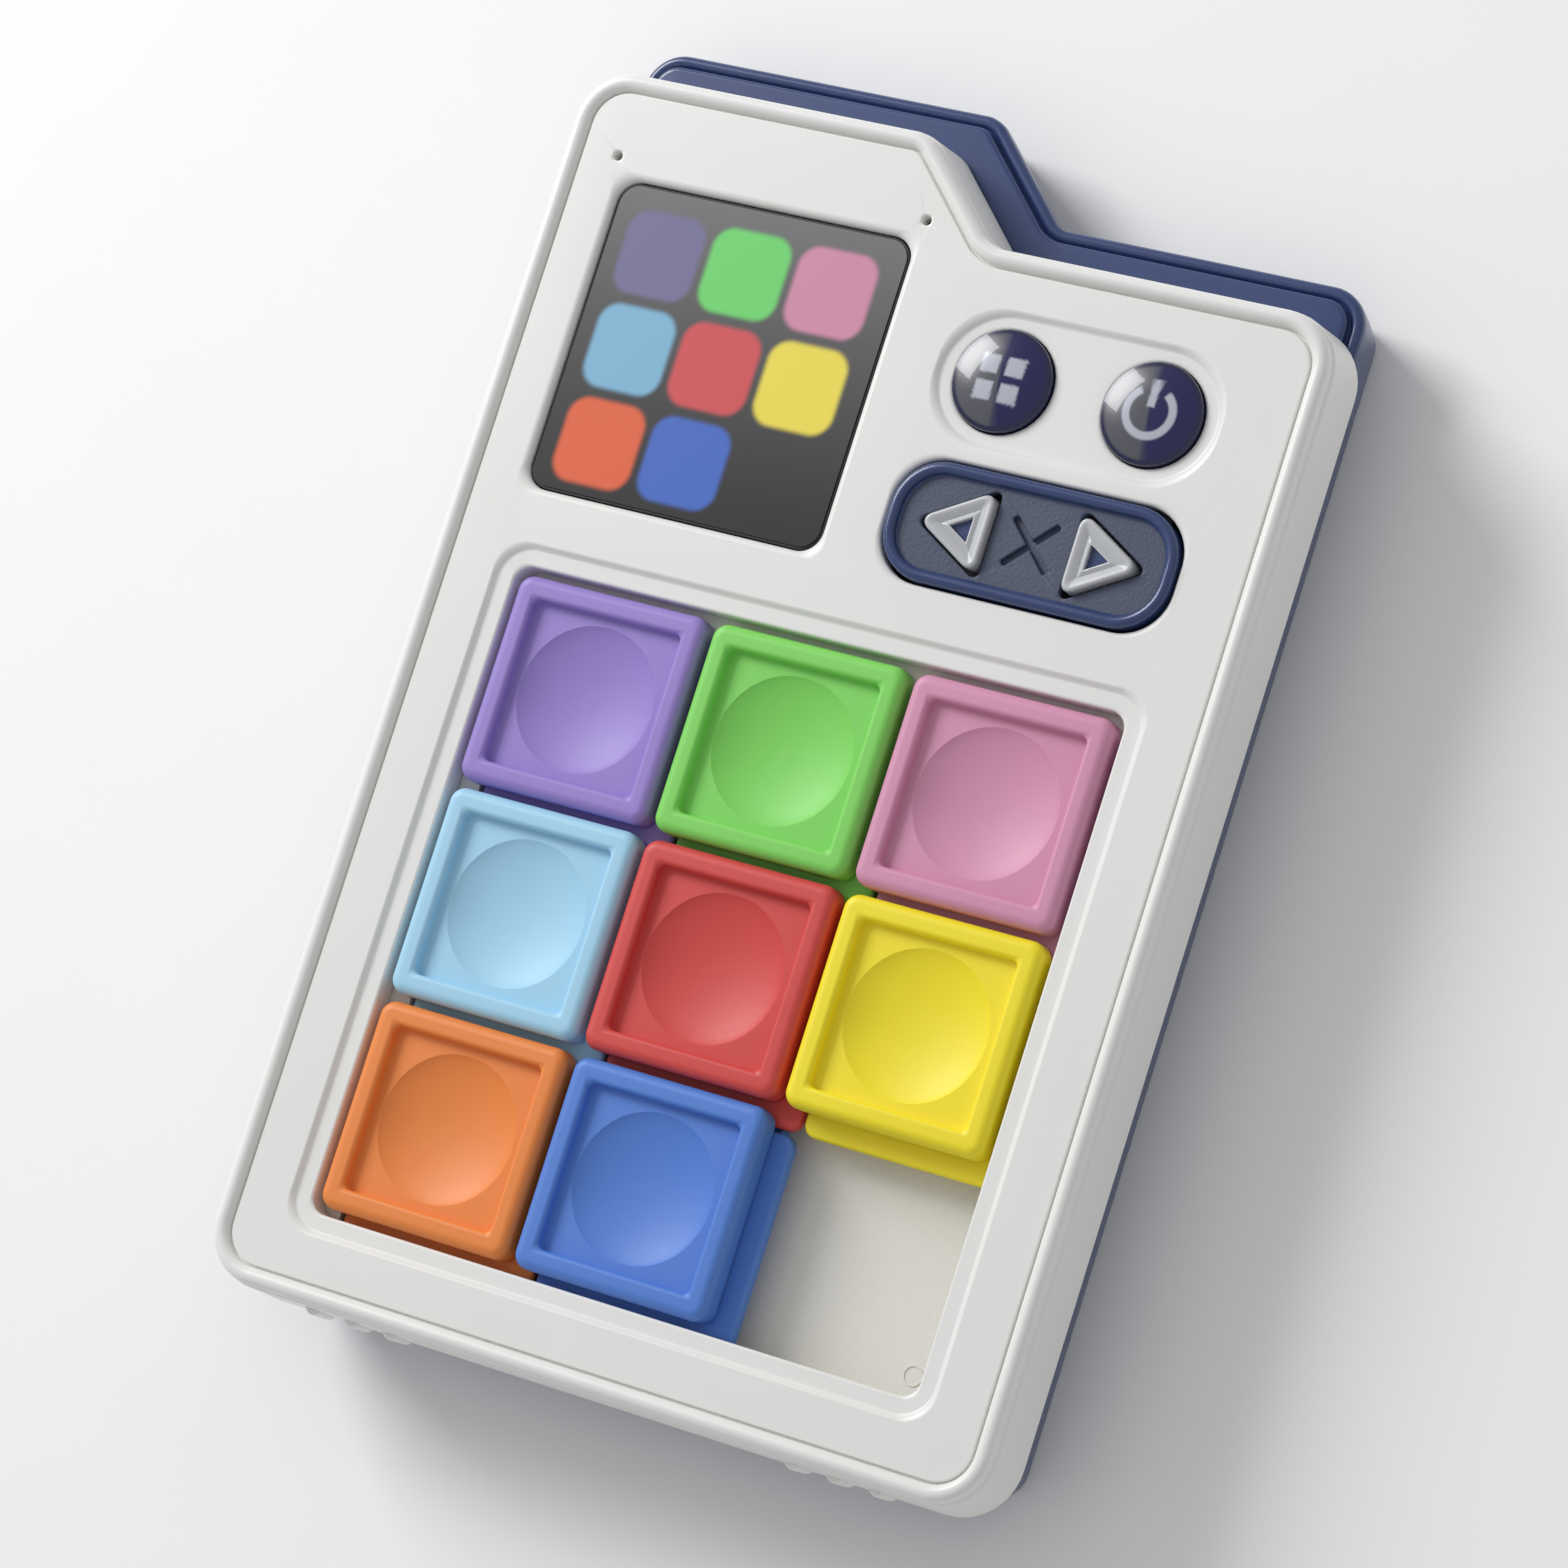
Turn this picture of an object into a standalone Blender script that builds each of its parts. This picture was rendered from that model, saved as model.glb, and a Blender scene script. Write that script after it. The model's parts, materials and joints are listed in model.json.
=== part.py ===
"""Hand-held electronic sliding tile puzzle, built as the assembly of its separate pieces.

The toy lies on its back: +Z points out of its face, +Y runs from the tile board to the screen and
+X to the right.  Every size below is in millimetres and every plan position is measured from the
middle of the tile board; SHIFT_Y moves the finished toy so that the origin is under the middle
of its bounding box, on the surface it lies on.
"""

import math

import bmesh
import bpy
from mathutils import Matrix, Vector

MM = 0.001
GAP = 0.3  # air between two pieces that touch on the real toy
ROUND_STEPS = 4  # straight pieces in one rounded corner

# Tile board
PITCH = 27.0
TILES_ACROSS = 3
CAP_GAP = 1.0  # between the caps of two neighbouring tiles
BASE_GAP = 0.5  # between the bases of two neighbouring tiles
LAYER_GAP = 0.35  # between a tongue and the groove's cheeks
TONGUE_REACH = 2.6  # how far a tongue stands out past its own cap
CAP_THICK = 3.6
TONGUE_THICK = 1.8
CAP_RIM = 2.6
CAP_RECESS = 0.9
DISH_RADIUS = 9.1
DISH_DEPTH = 1.4
CAP_CORNER = 1.9

# Casing
SIDE_BORDER = 12.0  # from the tile window to the side of the casing
BOTTOM_BORDER = 11.3
FRONT_DEPTH = 9.4  # from the face down to the front shell's lower edge
WALL = 2.0
FACE_THICK = 2.0
RIM_WIDTH = 2.2
RIM_RISE = 0.7
WALL_FLARE = 0.5
CASE_CORNER = 7.5
STEP_DROP = 12.0  # the top edge is this much lower on the right
STEP_START = -5.0  # where the sloping part of the top edge begins, from the middle
STEP_RUN = 12.0
REAR_INSET = 5.5  # the rear shell's body stands this far inside the front shell
LEDGE_REACH = 5.8  # and shows this far above its top edge
RIB_STAND = 0.5
RIB_GROUP_X = 32.8
RIB_SPACING = 5.5
RIB_RADIUS = 1.3
BAND_WIDTH = 2.4
BAND_DEPTH = 0.4

# Screen
SCREEN_SIZE = (40.6, 39.8)
SCREEN_SIDE = 9.3  # from the casing's side to the screen opening
SCREEN_RISE = 9.5  # from the tile window to the screen opening
SCREEN_TOP_BORDER = 13.6
SCREEN_CORNER = 3.0
LENS_DROP = 0.7
LCD_THICK = 2.5
PIN_HOLE_RADIUS = 0.6
PIN_HOLE_OUTSET = (1.4, 2.5)  # from the corner of the screen opening

# Buttons and arrow keys
PANEL_SIDE = 29.9  # from the casing's right side to the middle of the button panel
BUTTON_DROP = 16.15  # from the lower top edge to the two round buttons
NAV_DROP = 34.4
BUTTON_SPACING = 19.5
BUTTON_RADIUS = 6.3
BUTTON_RISE = 1.0
BUTTON_TRAVEL = 1.0
PANEL_SIZE = (36.4, 16.4)
PANEL_DEPTH = 0.6
NAV_SIZE = (37.2, 14.8)
NAV_CORNER = 6.4
NAV_RING = 1.5
NAV_RISE = 0.8
NAV_PLATE_DROP = 0.2
KEY_HEIGHT = 10.2
KEY_WIDTH = 8.6
KEY_BASE_X = 5.7  # from the middle of the plate to an arrow's straight edge
KEY_TRAVEL = 0.8
KEY_RISE = 0.7
KEY_CORNER = 1.2
FLANGE = 1.0
FLANGE_THICK = 0.8

# Circuit board, speaker and battery bay
BOARD_THICK = 1.2
BOARD_SIDE = 6.0
MAT_THICK = 1.1
CELL_RADIUS = 5.25
CELL_LENGTH = 44.5
CELL_CLEARANCE = 0.7  # between the two cells
CONTACT_ROOM = 3.6
DOOR_THICK = 1.2
DOOR_LIP = 2.0
BAY_WALL = 1.5
BAY_SKIN = 0.8  # the bay's roof under the circuit board
SPEAKER_RADIUS = 11.0
SPEAKER_THICK = 4.6
SPEAKER_X = 22.0
SPEAKER_Y = -16.0

# Fasteners
CASE_SCREW_HEAD = 2.4
CASE_SCREW_SHANK = 1.15
SMALL_HEAD = 1.7
SMALL_SHANK = 0.8
HEAD_THICK = 1.2
BOSS_WALL = 1.5

# Tile tray
CELL_DEPTH = 8.5
TRAY_FLOOR = 1.5
TRAY_WALL = 1.4

COLOURS = {
    "white": (0.80, 0.80, 0.79),
    "navy": (0.055, 0.085, 0.20),
    "cream": (0.74, 0.72, 0.66),
    "purple": (0.36, 0.26, 0.66),
    "green": (0.25, 0.68, 0.10),
    "pink": (0.74, 0.30, 0.45),
    "light_blue": (0.36, 0.63, 0.86),
    "red": (0.68, 0.06, 0.05),
    "yellow": (0.90, 0.70, 0.02),
    "orange": (0.85, 0.26, 0.04),
    "blue": (0.05, 0.20, 0.66),
    "clear": (0.82, 0.84, 0.86),
    "screen": (0.12, 0.12, 0.12),
    "green_board": (0.02, 0.20, 0.07),
    "rubber": (0.35, 0.35, 0.36),
    "black": (0.02, 0.02, 0.02),
    "steel": (0.60, 0.60, 0.61),
    "jacket": (0.75, 0.36, 0.05),
    "wire_red": (0.60, 0.03, 0.03),
}

# Places that follow from the sizes above
HALF_CAP = (PITCH - CAP_GAP) / 2
HALF_WINDOW = TILES_ACROSS * PITCH / 2 + CAP_GAP / 2
TONGUE_EDGE = HALF_CAP + TONGUE_REACH
GROOVE_EDGE = PITCH - TONGUE_EDGE - BASE_GAP  # where a base starts on its grooved sides
FAR_WALL = HALF_WINDOW + TONGUE_REACH - CAP_GAP / 2
TRAY_OUT = FAR_WALL + TRAY_WALL
HALF_CASE = HALF_WINDOW + SIDE_BORDER
BOTTOM = -HALF_WINDOW - BOTTOM_BORDER
SCREEN_X = -HALF_CASE + SCREEN_SIDE + SCREEN_SIZE[0] / 2
SCREEN_Y = HALF_WINDOW + SCREEN_RISE + SCREEN_SIZE[1] / 2
TOP = SCREEN_Y + SCREEN_SIZE[1] / 2 + SCREEN_TOP_BORDER
LOW_TOP = TOP - STEP_DROP
PANEL_X = HALF_CASE - PANEL_SIDE
BUTTON_Y = LOW_TOP - BUTTON_DROP
NAV_Y = LOW_TOP - NAV_DROP
SHIFT_Y = -(TOP + LEDGE_REACH + BOTTOM - RIB_STAND) / 2

REAR_FLOOR_Z = 2.2
DOOR_UNDER_Z = 0.2
DOOR_TOP_Z = DOOR_UNDER_Z + DOOR_THICK
CELL_Z = DOOR_TOP_Z + GAP + CELL_RADIUS
BAY_TOP_Z = CELL_Z + CELL_RADIUS + GAP
BAY_ROOF_Z = BAY_TOP_Z + BAY_SKIN
BOARD_UNDER_Z = BAY_ROOF_Z + GAP
BOARD_TOP_Z = BOARD_UNDER_Z + BOARD_THICK
MAT_TOP_Z = BOARD_TOP_Z + GAP + MAT_THICK
LCD_UNDER_Z = BOARD_TOP_Z + GAP
LCD_TOP_Z = LCD_UNDER_Z + LCD_THICK
FLANGE_UNDER_Z = LCD_TOP_Z + GAP
FLANGE_TOP_Z = FLANGE_UNDER_Z + FLANGE_THICK
PLATE_Z = FLANGE_TOP_Z + GAP
FACE_Z = PLATE_Z + FACE_THICK
FRONT_EDGE_Z = FACE_Z - FRONT_DEPTH
REAR_DEPTH = FRONT_EDGE_Z - GAP
CAP_UNDER_Z = FACE_Z - CAP_THICK
TONGUE_TOP_Z = CAP_UNDER_Z - LAYER_GAP
TONGUE_UNDER_Z = TONGUE_TOP_Z - TONGUE_THICK
FOOT_TOP_Z = TONGUE_UNDER_Z - LAYER_GAP
FLOOR_Z = FACE_Z - CELL_DEPTH
TRAY_UNDER_Z = FLOOR_Z - TRAY_FLOOR
FLANGE_RING_Z = FRONT_EDGE_Z + GAP
FLANGE_RING_TOP_Z = FLANGE_RING_Z + 1.3
PILLAR_TOP_Z = TRAY_UNDER_Z - 3.3
BAY_Y = LOW_TOP - 18.45
CELL_SPACING = 2 * CELL_RADIUS + CELL_CLEARANCE
BAY_HALF = (CELL_LENGTH / 2 + CONTACT_ROOM, CELL_SPACING / 2 + CELL_RADIUS + 0.75)
DOOR_HALF = (BAY_HALF[0] + DOOR_LIP, BAY_HALF[1] + DOOR_LIP)
BOARD_LEFT = -HALF_CASE + WALL + BOARD_SIDE
BOARD_RIGHT = HALF_CASE - WALL - BOARD_SIDE - 6.5
BOARD_BOTTOM = HALF_WINDOW + 3.0
BOARD_TOP = LOW_TOP - 4.4
CASE_SCREWS = (
    (-HALF_WINDOW + 2.0, -HALF_WINDOW + 2.0),
    (HALF_WINDOW - 2.0, -HALF_WINDOW + 2.0),
    (-HALF_WINDOW + 2.0, HALF_WINDOW - 5.0),
    (HALF_WINDOW - 2.0, HALF_WINDOW - 5.0),
    (-HALF_CASE + 11.5, TOP - 7.3),
    (HALF_CASE - 10.9, LOW_TOP - 7.4),
)
TRAY_SCREWS = tuple((sx * (TRAY_OUT + 3.2), sy * 25.0) for sy in (-1, 1) for sx in (-1, 1))
BOARD_SCREWS = (
    (SCREEN_X + 3.4, BOARD_BOTTOM + 2.3),
    (BOARD_RIGHT - 2.9, BOARD_BOTTOM + 2.3),
    (SCREEN_X - 6.6, TOP - SCREEN_TOP_BORDER + 3.7),
)
BOARD_SCREW_BOSS = 2.0
BOARD_LAYOUT = (
    ("purple", "green", "pink"),
    ("light_blue", "red", "yellow"),
    ("orange", "blue", None),
)


# --- Small tools -----------------------------------------------------------------------------


def clear_scene():
    """Remove every object, mesh, curve and material that the file starts with."""
    for group in (bpy.data.objects, bpy.data.meshes, bpy.data.curves, bpy.data.materials):
        for item in list(group):
            group.remove(item)


def material(colour, roughness=0.4, metallic=0.0):
    """Return a Principled material of a named colour, made once and then shared."""
    name = f"{colour}_{int(roughness * 100)}_{int(metallic * 100)}"
    found = bpy.data.materials.get(name)
    if found:
        return found
    made = bpy.data.materials.new(name)
    made.use_nodes = True
    shader = made.node_tree.nodes["Principled BSDF"]
    shader.inputs["Base Color"].default_value = (*COLOURS[colour], 1.0)
    shader.inputs["Roughness"].default_value = roughness
    shader.inputs["Metallic"].default_value = metallic
    made.diffuse_color = (*COLOURS[colour], 1.0)
    return made


def offset_corners(corners, inset):
    """Move a counter-clockwise outline's edges inwards and adapt the corner radii."""
    count = len(corners)
    lines = []
    for i, (x, y, _) in enumerate(corners):
        end = Vector(corners[(i + 1) % count][:2])
        along = (end - Vector((x, y))).normalized()
        lines.append((Vector((x, y)) + Vector((-along.y, along.x)) * inset, along))
    moved = []
    for i, (_, _, radius) in enumerate(corners):
        (p, d), (q, e) = lines[i - 1], lines[i]
        turn = d.x * e.y - d.y * e.x
        t = ((q.x - p.x) * e.y - (q.y - p.y) * e.x) / turn
        spot = p + d * t
        moved.append((spot.x, spot.y, max(radius - math.copysign(inset, turn), 0.2)))
    return moved


def outline(corners, inset=0.0, steps=ROUND_STEPS):
    """Turn corners (x, y, radius), counter-clockwise, into points with each corner rounded."""
    corners = offset_corners(corners, inset) if inset else corners
    points = []
    for i, (x, y, radius) in enumerate(corners):
        corner = Vector((x, y))
        back = (Vector(corners[i - 1][:2]) - corner).normalized()
        ahead = (Vector(corners[(i + 1) % len(corners)][:2]) - corner).normalized()
        half = back.angle(ahead) / 2
        centre = corner + (back + ahead).normalized() * (radius / math.sin(half))
        start = corner + back * (radius / math.tan(half)) - centre
        sweep = math.pi - 2 * half
        if back.x * ahead.y - back.y * ahead.x > 0:
            sweep = -sweep
        for k in range(steps + 1):
            turned = Matrix.Rotation(sweep * k / steps, 2) @ start
            points.append((centre.x + turned.x, centre.y + turned.y))
    return points


def box_corners(centre, size, radius):
    """Corners of a rounded rectangle of this centre and full size."""
    (cx, cy), (w, h) = centre, size
    signs = ((-1, -1), (1, -1), (1, 1), (-1, 1))
    return [(cx + sx * w / 2, cy + sy * h / 2, radius) for sx, sy in signs]


def span_corners(low, high, radius):
    """Corners of a rounded rectangle between two opposite points."""
    centre = ((low[0] + high[0]) / 2, (low[1] + high[1]) / 2)
    return box_corners(centre, (high[0] - low[0], high[1] - low[1]), radius)


def circle(centre, radius, steps=14):
    """Points of a circle, counter-clockwise."""
    angles = [math.tau * k / steps for k in range(steps)]
    return [(centre[0] + radius * math.cos(a), centre[1] + radius * math.sin(a)) for a in angles]


def loft(name, levels, look, origin=(0.0, 0.0, 0.0)):
    """Close a solid through (points, z) levels that all have the same number of points."""
    ox, oy, oz = origin
    bm = bmesh.new()
    rings = []
    for points, z in levels:
        rings.append([bm.verts.new(((x - ox) * MM, (y - oy) * MM, (z - oz) * MM)) for x, y in points])
    for low, high in zip(rings, rings[1:]):
        for i in range(len(low)):
            j = (i + 1) % len(low)
            bm.faces.new((low[i], low[j], high[j], high[i]))
    bm.faces.new(rings[0][::-1])
    bm.faces.new(rings[-1])
    bmesh.ops.recalc_face_normals(bm, faces=bm.faces)
    return finish_mesh(name, bm, look, origin)


def finish_mesh(name, bm, look, origin=(0.0, 0.0, 0.0)):
    """Store a bmesh as a named object whose own origin stands at the given board position."""
    mesh = bpy.data.meshes.new(name)
    bm.to_mesh(mesh)
    bm.free()
    mesh.materials.append(look)
    mesh.shade_smooth()
    mesh.set_sharp_from_angle(angle=math.radians(30))
    thing = bpy.data.objects.new(name, mesh)
    thing.location = (origin[0] * MM, (origin[1] + SHIFT_Y) * MM, origin[2] * MM)
    bpy.context.scene.collection.objects.link(thing)
    return thing


def prism(name, points, z_low, z_high, look, origin=(0.0, 0.0, 0.0)):
    """A straight solid of this outline between two heights."""
    return loft(name, [(points, z_low), (points, z_high)], look, origin)


def combine(target, tool, operation):
    """Add a live exact Boolean and hide the tool."""
    boolean = target.modifiers.new(tool.name, "BOOLEAN")
    boolean.operation = operation
    boolean.solver = "EXACT"
    boolean.object = tool
    tool.hide_render = True
    tool.display_type = "WIRE"


def cut(target, points, z_low, z_high, label):
    """Cut a straight hole or pocket out of a piece."""
    tool = prism(f"cut_{target.name}_{label}", points, z_low, z_high, material("black"))
    combine(target, tool, "DIFFERENCE")


def add(target, points, z_low, z_high, label):
    """Join a straight block, boss or wall to a piece."""
    tool = prism(f"add_{target.name}_{label}", points, z_low, z_high, material("black"))
    combine(target, tool, "UNION")


# --- Casing ----------------------------------------------------------------------------------


def case_corners():
    """The front shell's plan at its lower edge: a rectangle whose top steps down to the right."""
    step_end = STEP_START + STEP_RUN
    return [
        (-HALF_CASE, BOTTOM, CASE_CORNER),
        (HALF_CASE, BOTTOM, CASE_CORNER),
        (HALF_CASE, LOW_TOP, CASE_CORNER),
        (step_end, LOW_TOP, 3.4),
        (STEP_START, TOP, 5.0),
        (-HALF_CASE, TOP, CASE_CORNER),
    ]


def rear_corners():
    """The rear shell's plan: inside the front shell's, but standing out above its top edge."""
    half = HALF_CASE - REAR_INSET
    step_end = STEP_START + STEP_RUN + 2.6
    high, low = TOP + LEDGE_REACH, LOW_TOP + LEDGE_REACH
    return [
        (-half, BOTTOM + REAR_INSET, 5.0),
        (half, BOTTOM + REAR_INSET, 5.0),
        (half, low, 5.0),
        (step_end, low, 2.6),
        (step_end - STEP_RUN, high, 4.0),
        (-half, high, 5.0),
    ]


def case_boss():
    """Radius of the bosses that the case screws bite into."""
    return CASE_SCREW_SHANK + BOSS_WALL + 0.3


def button_spots():
    """Middles of the two round buttons, left then right."""
    return [(PANEL_X + side * BUTTON_SPACING / 2, BUTTON_Y) for side in (-1, 1)]


def make_front_shell():
    """White upper shell with its raised rim, tile window, screen opening and button panel."""
    look = material("white", 0.35)
    plan = case_corners()
    shell = loft(
        "front_shell",
        [
            (outline(plan), FRONT_EDGE_Z),
            (outline(plan, WALL_FLARE), FACE_Z - 0.3),
            (outline(plan, WALL_FLARE + 0.5), FACE_Z + RIM_RISE - 0.2),
            (outline(plan, WALL_FLARE + 1.1), FACE_Z + RIM_RISE),
        ],
        look,
    )
    over = FACE_Z + RIM_RISE + 1
    cut(shell, outline(plan, WALL_FLARE + RIM_WIDTH), FACE_Z, over, "face")
    cut(shell, outline(plan, WALL), FRONT_EDGE_Z - 1, PLATE_Z, "inside")
    land = box_corners((0, 0), (2 * TRAY_OUT + 1.0, 2 * TRAY_OUT + 1.0), 3.0)
    add(shell, outline(land), CAP_UNDER_Z, PLATE_Z + 0.5, "land")
    for i, spot in enumerate(CASE_SCREWS[4:]):
        add(shell, circle(spot, case_boss()), PILLAR_TOP_Z + GAP, PLATE_Z + 0.5, f"boss{i}")
        cut(shell, circle(spot, CASE_SCREW_SHANK + GAP, 12), PILLAR_TOP_Z - 1, PLATE_Z - 1.5, f"pilot{i}")
    for i, spot in enumerate(TRAY_SCREWS):
        boss = circle(spot, SMALL_SHANK + BOSS_WALL, 10)
        add(shell, boss, ear_top() + GAP, PLATE_Z + 0.5, f"ear_boss{i}")
        cut(shell, circle(spot, SMALL_SHANK + GAP, 12), ear_top() - 1, PLATE_Z + 0.4, f"ear_pilot{i}")
    for i, spot in enumerate(BOARD_SCREWS):
        add(shell, circle(spot, BOARD_SCREW_BOSS, 10), BOARD_TOP_Z + GAP, PLATE_Z + 0.5, f"board_boss{i}")
        cut(shell, circle(spot, SMALL_SHANK + GAP, 12), BOARD_TOP_Z - 1, PLATE_Z - 0.4, f"board_pilot{i}")
    window = box_corners((0, 0), (2 * HALF_WINDOW, 2 * HALF_WINDOW), 2.2)
    band = box_corners((0, 0), (2 * (HALF_WINDOW + BAND_WIDTH),) * 2, 4.4)
    cut(shell, outline(band), FACE_Z - BAND_DEPTH, over, "band")
    cut(shell, outline(window), CAP_UNDER_Z - 1, over, "window")
    opening = box_corners((SCREEN_X, SCREEN_Y), SCREEN_SIZE, SCREEN_CORNER)
    cut(shell, outline(opening), PLATE_Z - 1, over, "screen")
    panel = box_corners((PANEL_X, BUTTON_Y), PANEL_SIZE, PANEL_SIZE[1] / 2 - 0.01)
    cut(shell, outline(panel, steps=8), FACE_Z - PANEL_DEPTH, over, "panel")
    for i, spot in enumerate(button_spots()):
        cut(shell, circle(spot, BUTTON_RADIUS + GAP, 24), PLATE_Z - 1, over, f"button{i}")
    nav = box_corners((PANEL_X, NAV_Y), NAV_SIZE, NAV_CORNER)
    cut(shell, outline(nav, -GAP, 6), PLATE_Z - 1, over, "nav")
    top_y = SCREEN_Y + SCREEN_SIZE[1] / 2 + PIN_HOLE_OUTSET[1]
    for i, side in enumerate((-1, 1)):
        x = SCREEN_X + side * (SCREEN_SIZE[0] / 2 + (PIN_HOLE_OUTSET[0] if side < 0 else 0.7))
        cut(shell, circle((x, top_y), PIN_HOLE_RADIUS, 12), PLATE_Z - 1, over, f"pin{i}")
    for side in (-1, 1):
        for k in (-1, 0, 1):
            spot = (side * RIB_GROUP_X + k * RIB_SPACING, BOTTOM - RIB_STAND + RIB_RADIUS)
            rib = circle(spot, RIB_RADIUS, 10)
            add(shell, rib, FRONT_EDGE_Z + 0.4, FRONT_EDGE_Z + 5.0, f"rib{side}{k}")
    return shell


def make_rear_shell():
    """Navy lower shell: tub, ledge above the top edge, battery bay, speaker grille and pillars."""
    plan, front = rear_corners(), case_corners()
    shell = loft(
        "rear_shell",
        [
            (outline(plan, 2.0), 0.0),
            (outline(plan, 0.6), 0.8),
            (outline(plan), 2.2),
            (outline(plan), REAR_DEPTH - 0.6),
            (outline(plan, 0.6), REAR_DEPTH),
        ],
        material("navy", 0.3),
    )
    neck_inset = REAR_INSET + 0.2
    cavity_inset = REAR_INSET + WALL + 0.15
    add(shell, outline(front, neck_inset), REAR_DEPTH - 1, FLANGE_RING_TOP_Z - 0.4, "neck")
    add(shell, outline(front, WALL + GAP), FLANGE_RING_Z, FLANGE_RING_TOP_Z, "flange")
    cut(shell, outline(plan, WALL), REAR_FLOOR_Z, REAR_DEPTH - 1.7, "tub")
    cut(shell, outline(front, cavity_inset), REAR_DEPTH - 2.7, FLANGE_RING_TOP_Z + 1, "mouth")
    well = box_corners((0, 0), (2 * TRAY_OUT + GAP,) * 2, 2.6)
    cut(shell, outline(well), TRAY_UNDER_Z - GAP, FLANGE_RING_TOP_Z + 1, "well")
    wide = (2 * DOOR_HALF[0] + 2 * GAP + 2 * BAY_WALL, 2 * DOOR_HALF[1] + 2 * GAP + 2 * BAY_WALL)
    foot = outline(box_corners((0, BAY_Y), wide, 2.0), steps=2)
    add(shell, foot, 1.0, DOOR_TOP_Z + GAP + 2.0, "bay_foot")
    tab = door_tab()
    pad = span_corners((tab[0] - 4.5, tab[1] - 4.5), (tab[0] + 4.5, tab[1] + 2.6), 2.0)
    add(shell, outline(pad, steps=2), 1.1, DOOR_TOP_Z + GAP + 3.8, "tab_pad")
    tall = (2 * BAY_HALF[0] + 2 * BAY_WALL, 2 * BAY_HALF[1] + 2 * BAY_WALL)
    add(shell, outline(box_corners((0, BAY_Y), tall, 1.2), steps=2), 1.2, BAY_ROOF_Z, "bay")
    bay = (2 * BAY_HALF[0], 2 * BAY_HALF[1])
    cut(shell, outline(box_corners((0, BAY_Y), bay, 1.0), steps=2), -1.0, BAY_TOP_Z, "bay_inside")
    seat = (2 * DOOR_HALF[0] + 2 * GAP, 2 * DOOR_HALF[1] + 2 * GAP)
    cut(shell, outline(box_corners((0, BAY_Y), seat, 2.3), steps=3), -1.1, DOOR_TOP_Z + GAP, "door_seat")
    cut(shell, circle(tab, SMALL_HEAD + 1.5, 16), -1.2, DOOR_TOP_Z + GAP, "tab_seat")
    cut(shell, circle(tab, SMALL_SHANK + GAP, 12), -1.0, DOOR_TOP_Z + GAP + 3.0, "tab_pilot")
    for i, spot in enumerate(CASE_SCREWS):
        add(shell, circle(spot, CASE_SCREW_HEAD + GAP + BOSS_WALL - 0.5), 1.0, PILLAR_TOP_Z, f"pillar{i}")
        cut(shell, circle(spot, CASE_SCREW_HEAD + GAP, 12), -1.0, PILLAR_TOP_Z - 3.2, f"sink{i}")
        cut(shell, circle(spot, CASE_SCREW_SHANK + GAP, 12), 0.0, PILLAR_TOP_Z + 1, f"hole{i}")
    for i, spot in enumerate(CASE_SCREWS[4:]):
        notch = circle(spot, case_boss() + GAP, 16)
        cut(shell, notch, REAR_DEPTH - 1.9, FLANGE_RING_TOP_Z + 1, f"notch{i}")
    speaker = (SPEAKER_X, SPEAKER_Y)
    add(shell, circle(speaker, SPEAKER_RADIUS + GAP + 1.2, 32), 1.0, REAR_FLOOR_Z + 3.0, "speaker_wall")
    cut(shell, circle(speaker, SPEAKER_RADIUS + GAP, 32), REAR_FLOOR_Z, REAR_FLOOR_Z + 4.0, "speaker_seat")
    for k in range(-2, 3):
        reach = math.sqrt((SPEAKER_RADIUS - 2.5) ** 2 - (k * 3.4) ** 2)
        slot = span_corners((SPEAKER_X - reach, SPEAKER_Y + k * 3.4 - 0.8),
                            (SPEAKER_X + reach, SPEAKER_Y + k * 3.4 + 0.8), 0.75)
        cut(shell, outline(slot, steps=3), -1.0, REAR_FLOOR_Z + 1, f"slot{k}")
    return shell


def ear_top():
    """Top of the tray's screw ears."""
    return FACE_Z - 4.5


def make_tile_tray():
    """Cream well under the window: floor, walls, and the two rails that hold grooved edges."""
    near, far = HALF_WINDOW, FAR_WALL
    low, high = (-near - TRAY_WALL, -far - TRAY_WALL), (far + TRAY_WALL, near + TRAY_WALL)
    top = CAP_UNDER_Z - GAP
    plan = outline(span_corners(low, high, 2.6))
    tray = prism("tile_tray", plan, TRAY_UNDER_Z, top, material("cream", 0.25))
    for i, (x, y) in enumerate(TRAY_SCREWS):
        inner = math.copysign(near + 0.4, x) if x < 0 else far + 0.4
        ends = sorted((inner, x + math.copysign(2.4, x)))
        ear = span_corners((ends[0], y - 2.6), (ends[1], y + 2.6), 0.9)
        add(tray, outline(ear, steps=2), ear_top() - 1.5, ear_top(), f"ear{i}")
    rail = -1.5 * PITCH - PITCH / 2 + TONGUE_EDGE
    inside = outline(span_corners((-near, -far), (far, near), 1.6))
    ledge = outline(span_corners((rail, -far), (far, -rail), 1.2))
    cut(tray, ledge, FLOOR_Z, top + 1, "rail_faces")
    cut(tray, inside, TONGUE_TOP_Z, top + 1, "above_rails")
    cut(tray, inside, FLOOR_Z, TONGUE_UNDER_Z, "below_rails")
    for i, (x, y) in enumerate(TRAY_SCREWS):
        cut(tray, circle((x, y), SMALL_SHANK + GAP, 12), ear_top() - 3, ear_top() + 1, f"ear_hole{i}")
    for i, spot in enumerate(CASE_SCREWS[:4]):
        add(tray, circle(spot, case_boss()), PILLAR_TOP_Z + GAP, TRAY_UNDER_Z + 0.5, f"boss{i}")
        pilot = circle(spot, CASE_SCREW_SHANK + GAP, 12)
        cut(tray, pilot, PILLAR_TOP_Z - 1, TRAY_UNDER_Z + 0.9, f"pilot{i}")
    return tray


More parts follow.
